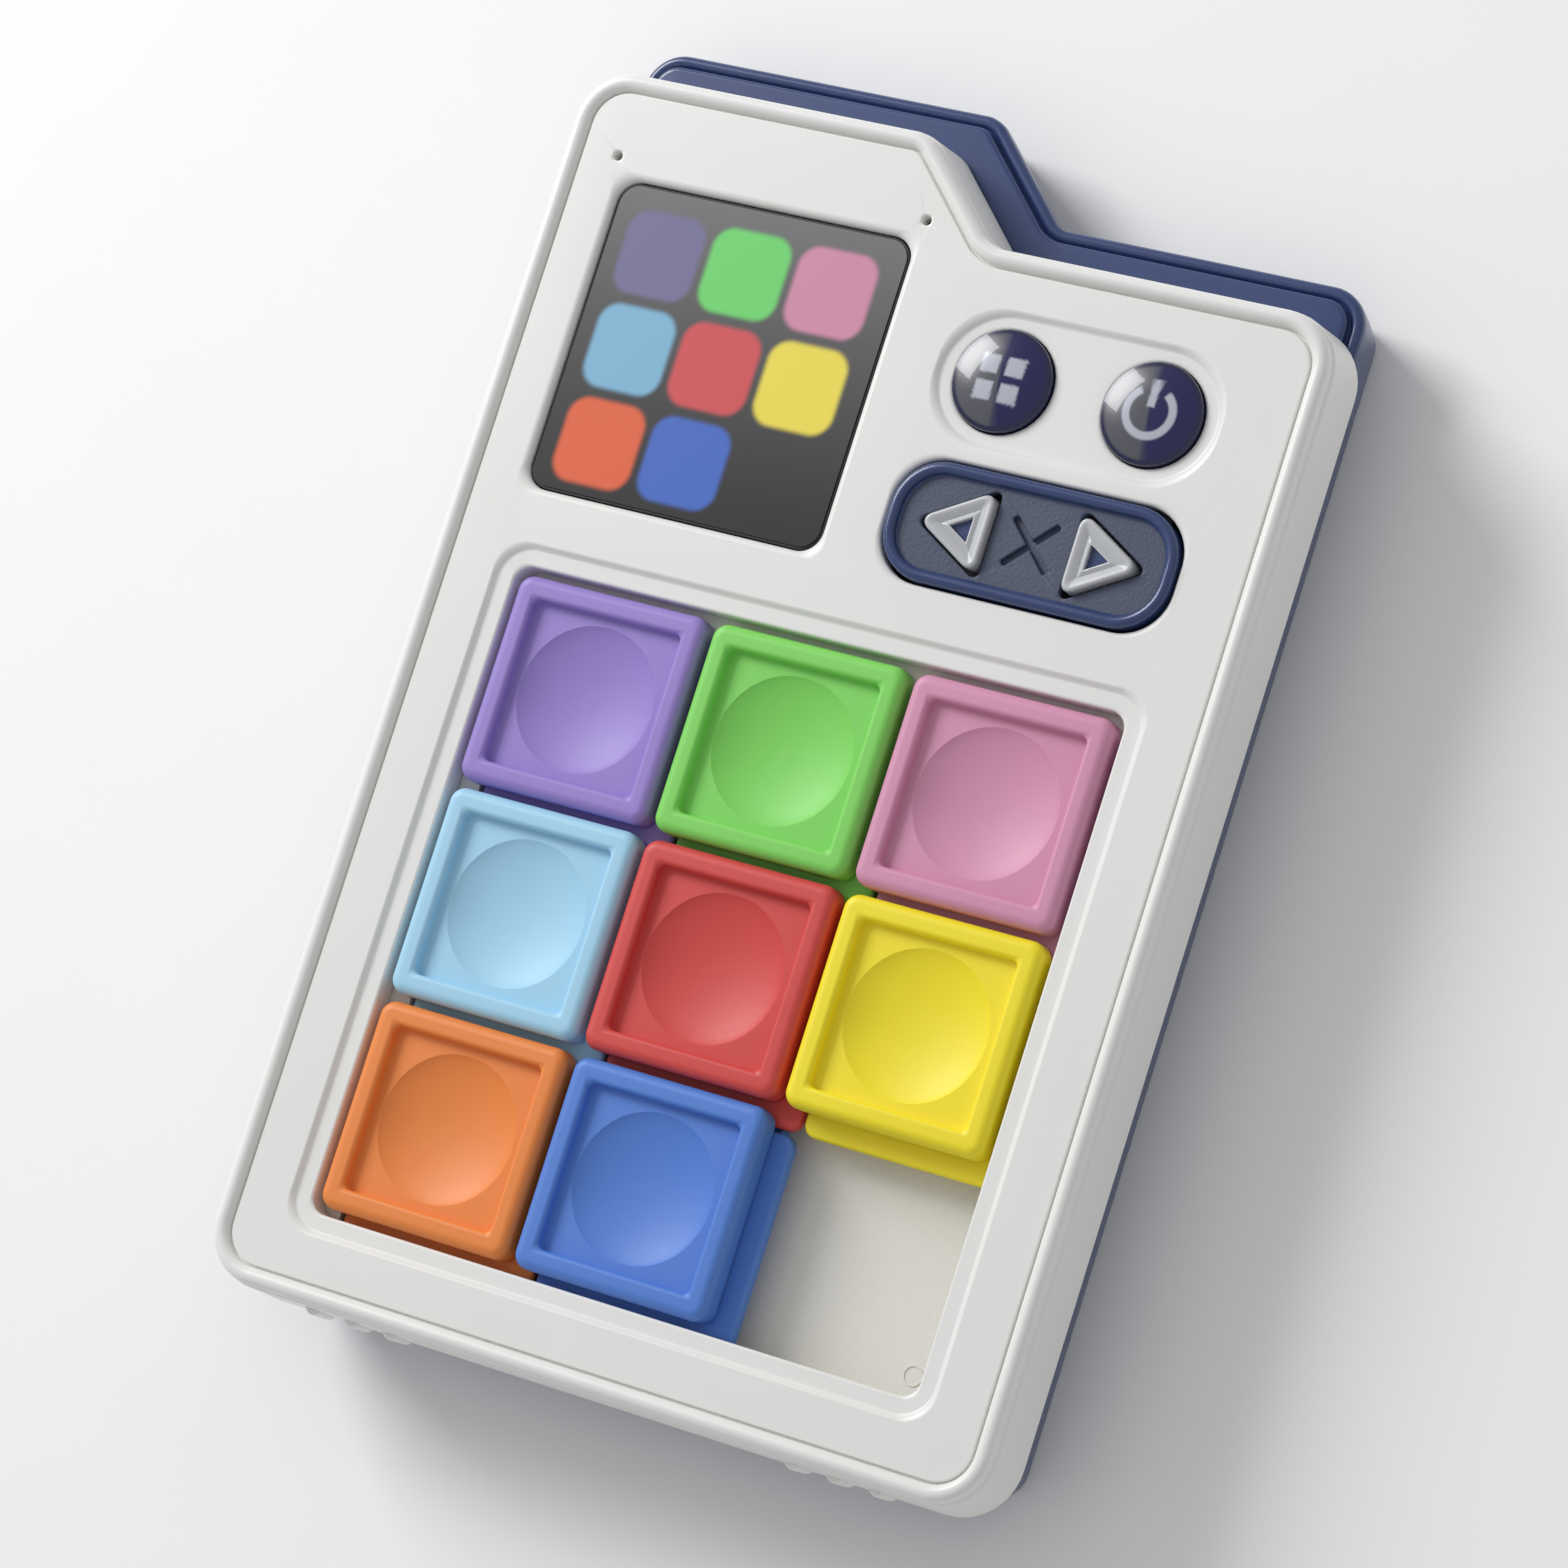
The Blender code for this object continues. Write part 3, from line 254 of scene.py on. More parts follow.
def soft_step(
    inset: float, width: float, top: float, drop: float, steps: int = 6,
) -> list[Station]:
    """Stations down a soft S-shaped step, going inwards.

    Args:
        inset: Where the step starts.
        width: How far it reaches inwards.
        top: Height at its start.
        drop: How much lower it ends.
        steps: Straight pieces along it.

    Returns:
        The stations in order.
    """
    shares = [k / steps for k in range(steps + 1)]
    return [(inset + width * s, top - drop * (s * s * (3 - 2 * s))) for s in shares]


def cross_outline(
    middle: Vector,
    arm: float,
    half: float,
    radii: tuple[float, float],
    turn: float,
    segments: int,
) -> Outline:
    """Return a cross with four equal arms.

    Args:
        middle: Its middle.
        arm: Length of an arm from the middle.
        half: Half the width of an arm.
        radii: Corner radius at the arms' tips and between the arms.
        turn: How far the cross is turned, in radians.
        segments: Straight pieces in each rounded corner.

    Returns:
        The outline.
    """
    tip, notch = radii
    corners = []
    for quarter in range(4):
        spin = Matrix.Rotation(quarter * math.pi / 2 + turn, 2)
        for x, y, radius in ((arm, -half, tip), (arm, half, tip), (half, half, notch)):
            spot = spin @ Vector((x, y))
            corners.append((middle.x + spot.x, middle.y + spot.y, radius))
    return Outline(tuple(corners), segments)


# --- Meshes ----------------------------------------------------------------------------------


def bridge(bm: BMesh, loops: Sequence[Loop]) -> None:
    """Join each loop to the next with a strip of faces.

    Two loops at the same height are filled between instead, because a flat strip can be twisted.

    Args:
        bm: The mesh.
        loops: Closed loops of edges with equal numbers of points.
    """
    for low, high in zip(loops, loops[1:]):
        if abs(low[0].verts[0].co.z - high[0].verts[0].co.z) < TINY:
            fill(bm, low, high)
        else:
            bmesh.ops.bridge_loops(bm, edges=list(low) + list(high))


def walk(bm: BMesh, outline: Outline, stations: Iterable[Station]) -> list[Loop]:
    """Sweep a cross-section round an outline.

    Args:
        bm: The mesh that gets the wall.
        outline: The outline that insets are measured from.
        stations: (inset, height) along the cross-section.

    Returns:
        The loops, first to last.
    """
    loops = [outline.inset(i).loop(bm, z) if i else outline.loop(bm, z) for i, z in stations]
    bridge(bm, loops)
    return loops


def fill(bm: BMesh, *loops: Loop) -> list[BMFace]:
    """Fill the flat area between an outer loop and any holes in it.

    Args:
        bm: The mesh.
        loops: The outer loop, then the holes.

    Returns:
        The new faces.
    """
    edges = [edge for loop in loops for edge in loop]
    made = bmesh.ops.triangle_fill(bm, use_beauty=True, use_dissolve=False, edges=edges)
    return [item for item in made["geom"] if isinstance(item, BMFace)]


def body(bm: BMesh, outline: Outline, stations: Sequence[Station]) -> list[Loop]:
    """Close a solid: a swept wall with both of its ends filled.

    Args:
        bm: The mesh that gets it.
        outline: The outline that insets are measured from.
        stations: (inset, height), lowest first.

    Returns:
        The wall's loops.
    """
    loops = walk(bm, outline, stations)
    fill(bm, loops[0])
    fill(bm, loops[-1])
    return loops


def rounded_block(bm: BMesh, outline: Outline, low: float, high: float, edge: float) -> None:
    """Add a straight block whose upper and lower edges are rounded.

    Args:
        bm: The mesh that gets it.
        outline: Its outline.
        low: Its lowest height.
        high: Its highest height.
        edge: Radius of the two rounded edges.
    """
    lower = arc(edge, low + edge, edge, 270, 180, 4)
    upper = arc(edge, high - edge, edge, 180, 90, 4)
    body(bm, outline, lower + upper)


class Piece:
    """A mesh under construction, in board millimetres until it is finished."""

    def __init__(self, name: str) -> None:
        """Start an empty piece.

        Args:
            name: The object's name.
        """
        self.name = name
        self.bm = bmesh.new()

    def finish(
        self,
        rides_on: str,
        look: bpy.types.Material,
        slot: str,
        replaces: Sequence[str] = (),
        angle: float = SMOOTH_ANGLE,
    ) -> bpy.types.Object:
        """Turn the mesh into an object, dress it and hang it on its body.

        Args:
            rides_on: The frame body that carries it.
            look: Its material.
            slot: The record's material slot; not used.
            replaces: Frame nodes that it stands for.
            angle: Edges sharper than this stay sharp.

        Returns:
            The object.
        """
        bmesh.ops.recalc_face_normals(self.bm, faces=self.bm.faces)
        to_row = Matrix.Scale(MM, 4) @ Matrix.Translation((0.0, BOARD_Y, 0.0))
        bmesh.ops.transform(self.bm, matrix=to_row, verts=self.bm.verts)
        mesh = bpy.data.meshes.new(self.name)
        self.bm.to_mesh(mesh)
        self.bm.free()
        mesh.shade_smooth()
        mesh.set_sharp_from_angle(angle=angle)
        mesh.materials.append(look)
        thing = bpy.data.objects.new(self.name, mesh)
        bpy.context.scene.collection.objects.link(thing)
        flats = thing.modifiers.new("flat faces stay flat", "WEIGHTED_NORMAL")
        flats.keep_sharp = True
        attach(thing, rides_on)
        if replaces:
            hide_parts(*replaces)
        LOG.info("%s: %d faces", self.name, len(mesh.polygons))
        return thing


# --- Finishes --------------------------------------------------------------------------------


def linear(colour: str) -> tuple[float, float, float, float]:
    """Turn an sRGB hex colour into linear RGBA.

    Args:
        colour: Six hex digits.

    Returns:
        Linear red, green, blue and an alpha of 1.
    """
    shares = [int(colour[i : i + 2], 16) / 255 for i in (0, 2, 4)]
    r, g, b = (s / 12.92 if s <= 0.04045 else ((s + 0.055) / 1.055) ** 2.4 for s in shares)
    return (r, g, b, 1.0)


def bare_material(
    name: str,
) -> tuple[bpy.types.Material, bpy.types.NodeTree, bpy.types.Node, bpy.types.NodeSocket]:
    """Make a material that has only its shader and the place on the object.

    Args:
        name: The material's name.

    Returns:
        The material, its tree, its shader and the socket with the place.
    """
    made = bpy.data.materials.new(name)
    made.use_nodes = True
    tree = made.node_tree
    place = add_node(tree, "ShaderNodeTexCoord").outputs["Object"]
    return made, tree, tree.nodes["Principled BSDF"], place


def add_node(
    tree: bpy.types.NodeTree,
    kind: str,
    settings: dict[str | int, object] | None = None,
    links: Links | None = None,
) -> bpy.types.Node:
    """Add one shader node.

    Args:
        tree: The material's node tree.
        kind: The node's type name.
        settings: Property or input values, by name or input number.
        links: Sockets to connect to its inputs, by input name or number.

    Returns:
        The node.
    """
    node = tree.nodes.new(kind)
    for name, value in (settings or {}).items():
        if isinstance(name, str) and hasattr(node, name):
            setattr(node, name, value)
        else:
            node.inputs[name].default_value = value
    for name, socket in (links or {}).items():
        tree.links.new(socket, node.inputs[name])
    return node


@dataclass(frozen=True)
class Moulded:
    """Injection-moulded ABS: even colour, fine spark-eroded grain and a soft sheen.

    Attributes:
        name: The material's name.
        colour: Its sRGB hex colour.
        deep: The colour of its faint darker mottling.
        roughness: Mean roughness.
        grain: Size of the mould's grain, in millimetres.
        relief: Height of the grain, in millimetres.
        coat: Weight of the glossy skin of a polished mould.
        scatter: Light that passes a little way under the skin.
        mottle: Size of the darker clouds, in millimetres.
        swing: How far the roughness goes up and down with the grain.
        depth: How far light goes under the skin, in millimetres.
    """

    name: str
    colour: str
    deep: str
    roughness: float = 0.42
    grain: float = 0.35
    relief: float = 0.012
    coat: float = 0.0
    scatter: float = 0.0
    mottle: float = 18.0
    swing: float = 0.05
    depth: float = 1.2

    def build(self) -> bpy.types.Material:
        """Make the material.

        Returns:
            The material.
        """
        made, tree, shader, place = bare_material(self.name)
        cloud = add_node(
            tree, "ShaderNodeTexNoise",
            {"Scale": 1 / (self.mottle * MM), "Detail": 3.0}, {"Vector": place},
        )
        tint = add_node(
            tree, "ShaderNodeMix",
            {"data_type": "RGBA", 6: linear(self.colour), 7: linear(self.deep)},
        )
        share = add_node(
            tree, "ShaderNodeMapRange",
            {"From Min": 0.35, "From Max": 0.75, "To Max": 0.30},
            {"Value": cloud.outputs["Fac"]},
        )
        tree.links.new(share.outputs["Result"], tint.inputs[0])
        tree.links.new(tint.outputs[2], shader.inputs["Base Color"])
        # The real grain is about 0.1 mm; it is drawn coarser so that it shows.
        grain = add_node(
            tree, "ShaderNodeTexNoise",
            {"Scale": 1 / (self.grain * MM), "Detail": 2.0}, {"Vector": place},
        )
        gloss = add_node(
            tree, "ShaderNodeMapRange",
            {"To Min": self.roughness - self.swing, "To Max": self.roughness + self.swing},
            {"Value": grain.outputs["Fac"]},
        )
        bump = add_node(
            tree, "ShaderNodeBump", {"Strength": 0.5, "Distance": self.relief * MM},
            {"Height": grain.outputs["Fac"]},
        )
        tree.links.new(gloss.outputs["Result"], shader.inputs["Roughness"])
        tree.links.new(bump.outputs["Normal"], shader.inputs["Normal"])
        shader.inputs["IOR"].default_value = 1.53
        shader.inputs["Coat Weight"].default_value = self.coat
        shader.inputs["Coat Roughness"].default_value = 0.08
        if self.scatter:
            shader.inputs["Subsurface Weight"].default_value = self.scatter
            shader.inputs["Subsurface Radius"].default_value = (1.0, 0.8, 0.7)
            shader.inputs["Subsurface Scale"].default_value = self.depth * MM
        return made


@dataclass(frozen=True)
class Plated:
    """Zinc- or nickel-plated steel: bright metal with fine drawing marks.

    Attributes:
        name: The material's name.
        colour: Its sRGB hex colour.
        roughness: Mean roughness.
    """

    name: str
    colour: str
    roughness: float = 0.28

    def build(self) -> bpy.types.Material:
        """Make the material.

        Returns:
            The material.
        """
        made, tree, shader, place = bare_material(self.name)
        # Real drawing marks are finer; they are drawn 0.4 mm wide so that they show.
        marks = add_node(
            tree, "ShaderNodeTexNoise",
            {"Scale": 1 / (0.4 * MM), "Detail": 4.0}, {"Vector": place},
        )
        gloss = add_node(
            tree, "ShaderNodeMapRange",
            {"To Min": self.roughness - 0.1, "To Max": self.roughness + 0.15},
            {"Value": marks.outputs["Fac"]},
        )
        bump = add_node(
            tree, "ShaderNodeBump",
            {"Strength": 0.3, "Distance": 0.01 * MM}, {"Height": marks.outputs["Fac"]},
        )
        tree.links.new(gloss.outputs["Result"], shader.inputs["Roughness"])
        tree.links.new(bump.outputs["Normal"], shader.inputs["Normal"])
        shader.inputs["Base Color"].default_value = linear(self.colour)
        shader.inputs["Metallic"].default_value = 1.0
        return made


@dataclass(frozen=True)
class Printed:
    """A picture under clear resin: it shows the mesh's own colours below a glossy coat.

    Attributes:
        name: The material's name.
        glow: How strongly the picture lights itself.
        roughness: Roughness of the printed layer.
        coat: Weight of the clear coat.
    """

    name: str
    glow: float = 0.0
    roughness: float = 0.3
    coat: float = 1.0

    ATTRIBUTE = "picture"

    def build(self) -> bpy.types.Material:
        """Make the material.

        Returns:
            The material.
        """
        made, tree, shader, place = bare_material(self.name)
        picture = add_node(tree, "ShaderNodeAttribute", {"attribute_name": self.ATTRIBUTE})
        tree.links.new(picture.outputs["Color"], shader.inputs["Base Color"])
        if self.glow:
            tree.links.new(picture.outputs["Color"], shader.inputs["Emission Color"])
            shader.inputs["Emission Strength"].default_value = self.glow
        # Moulded resin has shallow ripples about 4 mm apart, which bend its reflections a little.
        ripple = add_node(
            tree, "ShaderNodeTexNoise", {"Scale": 1 / (4 * MM)}, {"Vector": place},
        )
        bump = add_node(
            tree, "ShaderNodeBump",
            {"Strength": 0.15, "Distance": 0.01 * MM}, {"Height": ripple.outputs["Fac"]},
        )
        tree.links.new(bump.outputs["Normal"], shader.inputs["Normal"])
        shader.inputs["Roughness"].default_value = self.roughness
        shader.inputs["Coat Weight"].default_value = self.coat
        shader.inputs["Coat Roughness"].default_value = 0.03
        shader.inputs["IOR"].default_value = 1.49
        return made


def paint(thing: bpy.types.Object, colour_at: Callable[[Vector], tuple[float, ...]]) -> None:
    """Store a colour at each point of a mesh.

    Args:
        thing: The mesh object.
        colour_at: Gives linear RGBA for a point in board millimetres.
    """
    layer = thing.data.color_attributes.new(Printed.ATTRIBUTE, "FLOAT_COLOR", "POINT")
    for spot, vert in zip(layer.data, thing.data.vertices):
        spot.color = colour_at(Vector((vert.co.x / MM, vert.co.y / MM - BOARD_Y, vert.co.z / MM)))


class Finish(Enum):
    """The toy's finishes, each made when it is first used."""

    # Soft even white with a silky sheen; the spark-eroded grain only shows up close.
    WHITE = Moulded("white_abs_spark_grain", "EDEDEB", "E6E6E3", 0.38, 0.4, 0.010)
    # Deep blue with a satin skin that catches thin highlights along the beads.
    NAVY = Moulded("navy_abs_satin", "2F4272", "283A66", 0.30, 0.5, 0.008, coat=0.25)
    # Greyer, duller blue with a coarse grain that looks sandy beside the navy ring.
    SLATE = Moulded("slate_abs_coarse_grain", "454E66", "3A4258", 0.5, 0.45, 0.09)
    # Warm off-white, smooth from a polished mould, so it glints a little.
    CREAM = Moulded("cream_abs_polished", "E9E7E0", "E2DFD6", 0.28, 0.6, 0.004, coat=0.3)
    # Milky grey that lets light a little way in, with a frosted surface.
    KEY = Moulded("frosted_styrene", "C4C6CA", "A9ACB2", 0.36, 0.5, 0.01, coat=0.12, scatter=0.3)
    # Near-black and dull, as filled resin is.
    BLACK = Moulded("black_resin", "151516", "1D1D1F", 0.45, 0.5, 0.01)
    # Dark green lacquer with a wet-looking gloss over it.
    BOARD = Moulded("solder_mask_green", "145A2A", "0F4A21", 0.35, 0.8, 0.01, coat=0.3)
    # Mid grey and quite matt, as silicone is.
    RUBBER = Moulded("silicone_grey", "9A9A9C", "8E8E90", 0.6, 0.4, 0.01)
    # Bright orange film drawn tight, with a clear gloss.
    JACKET = Moulded("shrink_film_orange", "D9762A", "C9681E", 0.28, 0.8, 0.004, coat=0.4)
    # Plain black PVC, slightly shiny.
    WIRE_BLACK = Moulded("pvc_black", "1B1B1C", "232324", 0.4, 0.4, 0.008)
    # Plain red PVC, slightly shiny.
    WIRE_RED = Moulded("pvc_red", "B3201C", "A01A17", 0.4, 0.4, 0.008)
    # Pale grey metal with soft streaky reflections.
    ZINC = Plated("zinc_plated_steel", "BFC0C2")
    # Brighter, faintly yellow metal with sharper reflections.
    NICKEL = Plated("nickel_plated_steel", "D2CFC8", 0.2)
    # Soft-edged coloured squares that glow faintly under thin acrylic, over a painted reflection
    # of the studio light that glows with them.
    DISPLAY = Printed("lit_display_under_acrylic", 0.03, 0.4, 0.2)
    # A dark two-tone label under a clear glossy dome.
    LABEL = Printed("label_under_clear_dome", 0.0, 0.25, 0.45)

    def material(self) -> bpy.types.Material:
        """Return this finish's material, made once and then shared."""
        return bpy.data.materials.get(self.value.name) or self.value.build()


class TileColour(Enum):
    """Tile colours: word, face colour, darker clouds, and the display's colour for the tile.

    The caps and bases are ABS with a fine matt grain: clear, even colours whose edges and dishes
    look soft because a little light goes under the skin.
    """

    PURPLE = ("purple", "9C86D2", "947CCB", "6F6B95")
    GREEN = ("green", "84DA62", "7CD258", "6AD56A")
    PINK = ("pink", "D896B6", "D18DAE", "D18AA8")
    LIGHT_BLUE = ("light_blue", "A8D8F2", "A0D1EE", "7DB5D6")
    RED = ("red", "D84A46", "CF4340", "D24A50")
    YELLOW = ("yellow", "FBE822", "F6E01A", "EEDC4C")
    ORANGE = ("orange", "F08C42", "E9843A", "E36035")
    BLUE = ("blue", "5585DA", "4C7CD2", "3A66C4")

    @property
    def word(self) -> str:
        """The colour's plain name, which its nodes start with."""
        return self.value[0]

    def material(self) -> bpy.types.Material:
        """Return the tile's moulded finish, made once and then shared."""
        word, colour, deep, _ = self.value
        name = f"tile_abs_{word}"
        look = Moulded(name, colour, deep, 0.5, 0.45, 0.008, scatter=0.12)
        return bpy.data.materials.get(name) or look.build()


# --- Casing ----------------------------------------------------------------------------------


@dataclass
class FrontShell:
    """White upper shell: flared wall, beaded rim, and the openings in its face.

    Attributes:
        band: Width of the sunk band round the tile window.
        band_depth: How far the band lies below the face.
        band_step: Width of the soft step down to the band.
        band_corner: Corner radius of the band's outer edge.
        window_corner: Corner radius of the window.
        window_edge: Radius of the window's upper edge.
        land: How far the face reaches out over the tiles' room under the band.
        corner: Corner radius of the casing.
        step_foot: Radius in the stepped end's inner corner.
        step_head: Radius on the stepped end's outer corner.
        wall: Thickness of the side wall.
        bead: Radius of the rim's bead.
        bead_inset: How far the bead's middle lies inside the outline.
        bead_rise: How far the bead stands above the face.
        crease: Depth below the face of the crease under the bead.
        rib_top: Height of the grip ribs' upper end above the shell's lower edge.
    """

    band: float = 2.4
    band_depth: float = 0.6
    band_step: float = 0.9
    band_corner: float = 4.4
    window_corner: float = 2.2
    window_edge: float = 0.35
    land: float = 4.0
    corner: float = 7.5
    step_foot: float = 3.4
    step_head: float = 5.0
    wall: float = 2.0
    bead: float = 1.08
    bead_inset: float = 1.72
    bead_rise: float = 0.7
    crease: float = 1.05
    screen_size: tuple[float, float] = (40.6, 39.8)
    screen_corner: float = 3.0
    panel_size: tuple[float, float] = (36.4, 16.4)
    panel_depth: float = 0.6
    rib_groups: tuple[float, ...] = (-32.8, 32.8)
    rib_spacing: float = 5.5
    rib_radius: float = 1.3
    rib_top: float = 5.0

    def plan(self) -> Outline:
        """Return the shell's outline at its lower edge."""
        step_end = STEP_START + STEP_RUN
        return Outline((
            (-HALF_CASE, CASE_BOTTOM, self.corner),
            (HALF_CASE, CASE_BOTTOM, self.corner),
            (HALF_CASE, LOW_TOP, self.corner),
            (step_end, LOW_TOP, self.step_foot),
            (STEP_START, CASE_TOP, self.step_head),
            (-HALF_CASE, CASE_TOP, self.corner),
        ))

    def window(self, bm: BMesh) -> Ends:
        """Build the tile window with its sunk band and the land under it.

        Args:
            bm: The shell's mesh.

        Returns:
            The loop in the face and the loop in the underside.
        """
        edge = Outline.box((0, 0), (2 * HALF_WINDOW, 2 * HALF_WINDOW), self.window_corner)
        band_z = FACE_Z - self.band_depth
        outer = Outline.box((0, 0), (2 * (HALF_WINDOW + self.band),) * 2, self.band_corner)
        down = soft_step(-self.band_step / 2, self.band_step, FACE_Z, self.band_depth)
        first = walk(bm, outer, down)
        lip = self.window_edge
        under = [(0.0, CAP_UNDER_Z), (-self.land, CAP_UNDER_Z), (-self.land, PLATE_Z)]
        inner = walk(bm, edge, arc(-lip, band_z - lip, lip, 90, 0, 4) + under)
        fill(bm, first[-1], inner[0])
        return first[0], inner[-1]

    @staticmethod
    def opening(bm: BMesh, outline: Outline, chamfer: float, top: float = FACE_Z) -> Ends:
        """Build a straight opening with a rounded upper edge.

        Args:
            bm: The shell's mesh.
            outline: The opening.
            chamfer: Width and depth of its rounded edge.
            top: Height of the surface that it opens from.

        Returns:
            The loop in that surface and the loop in the underside.
        """
        edge = arc(-chamfer, top - chamfer, chamfer, 90, 0, 4)
        loops = walk(bm, outline, edge + [(0.0, PLATE_Z)])
        return loops[0], loops[-1]

    def build(self, panel: ButtonPanel) -> None:
        """Build the shell round the keys' panel.

        Args:
            panel: The panel, which knows where its keys are.
        """
        piece = Piece("front_casing")
        bm = piece.bm
        low = EDGE_Z
        plan = self.plan()
        crease_z = FACE_Z - self.crease
        bead_z = FACE_Z + self.bead_rise - self.bead
        wall = arc(0.45, low + 0.45, 0.45, 270, 180, 4)
        wall += [(0.12, low + 2.4), (0.42, crease_z - 0.5), (0.75, crease_z - 0.1)]
        rim = arc(self.bead_inset, bead_z, self.bead, 196, 0, 14)
        groove = [(2.82, FACE_Z - 0.5), (2.98, FACE_Z - 0.54)]
        groove += [(3.12, FACE_Z - 0.06), (3.3, FACE_Z)]
        outside = walk(bm, plan, wall + rim + groove)
        lead_in = [(self.wall - 0.5, low), (self.wall, low + 0.5)]
        inside = walk(bm, plan, lead_in + [(self.wall, PLATE_Z)])
        bridge(bm, [outside[0], inside[0]])
        screen = Screen.outline(self)
        tops, unders = zip(
            self.window(bm),
            self.opening(bm, screen, 0.9),
            self.opening(bm, panel.nav_outline().inset(-GAP), 0.5),
            *(self.opening(bm, Outline.circle(s, Screen.PIN), 0.25) for s in Screen.pins(self)),
        )
        end = self.panel_size[1] / 2 * ROUND
        pill = Outline.box(panel.button_middle(), self.panel_size, end)
        sunk = walk(bm, pill, soft_step(-0.5, 1.0, FACE_Z, self.panel_depth))
        floor = FACE_Z - self.panel_depth
        holes = [
            self.opening(bm, Outline.circle(spot, panel.radius + panel.air), 0.3, floor)
            for spot in panel.spots()
        ]
        fill(bm, sunk[-1], *(hole[0] for hole in holes))
        fill(bm, outside[-1], sunk[0], *tops)
        fill(bm, inside[-1], *unders, *(hole[1] for hole in holes))
        for middle in self.rib_groups:
            for step in (-1, 0, 1):
                spot = (middle + step * self.rib_spacing, SHELL_LOW.y + self.rib_radius)
                rib = Outline.circle(spot, self.rib_radius)
                rounded_block(bm, rib, low + 0.4, low + self.rib_top, 0.45)
        piece.finish("casing", Finish.WHITE.material(), "white_abs", ["front_shell"])


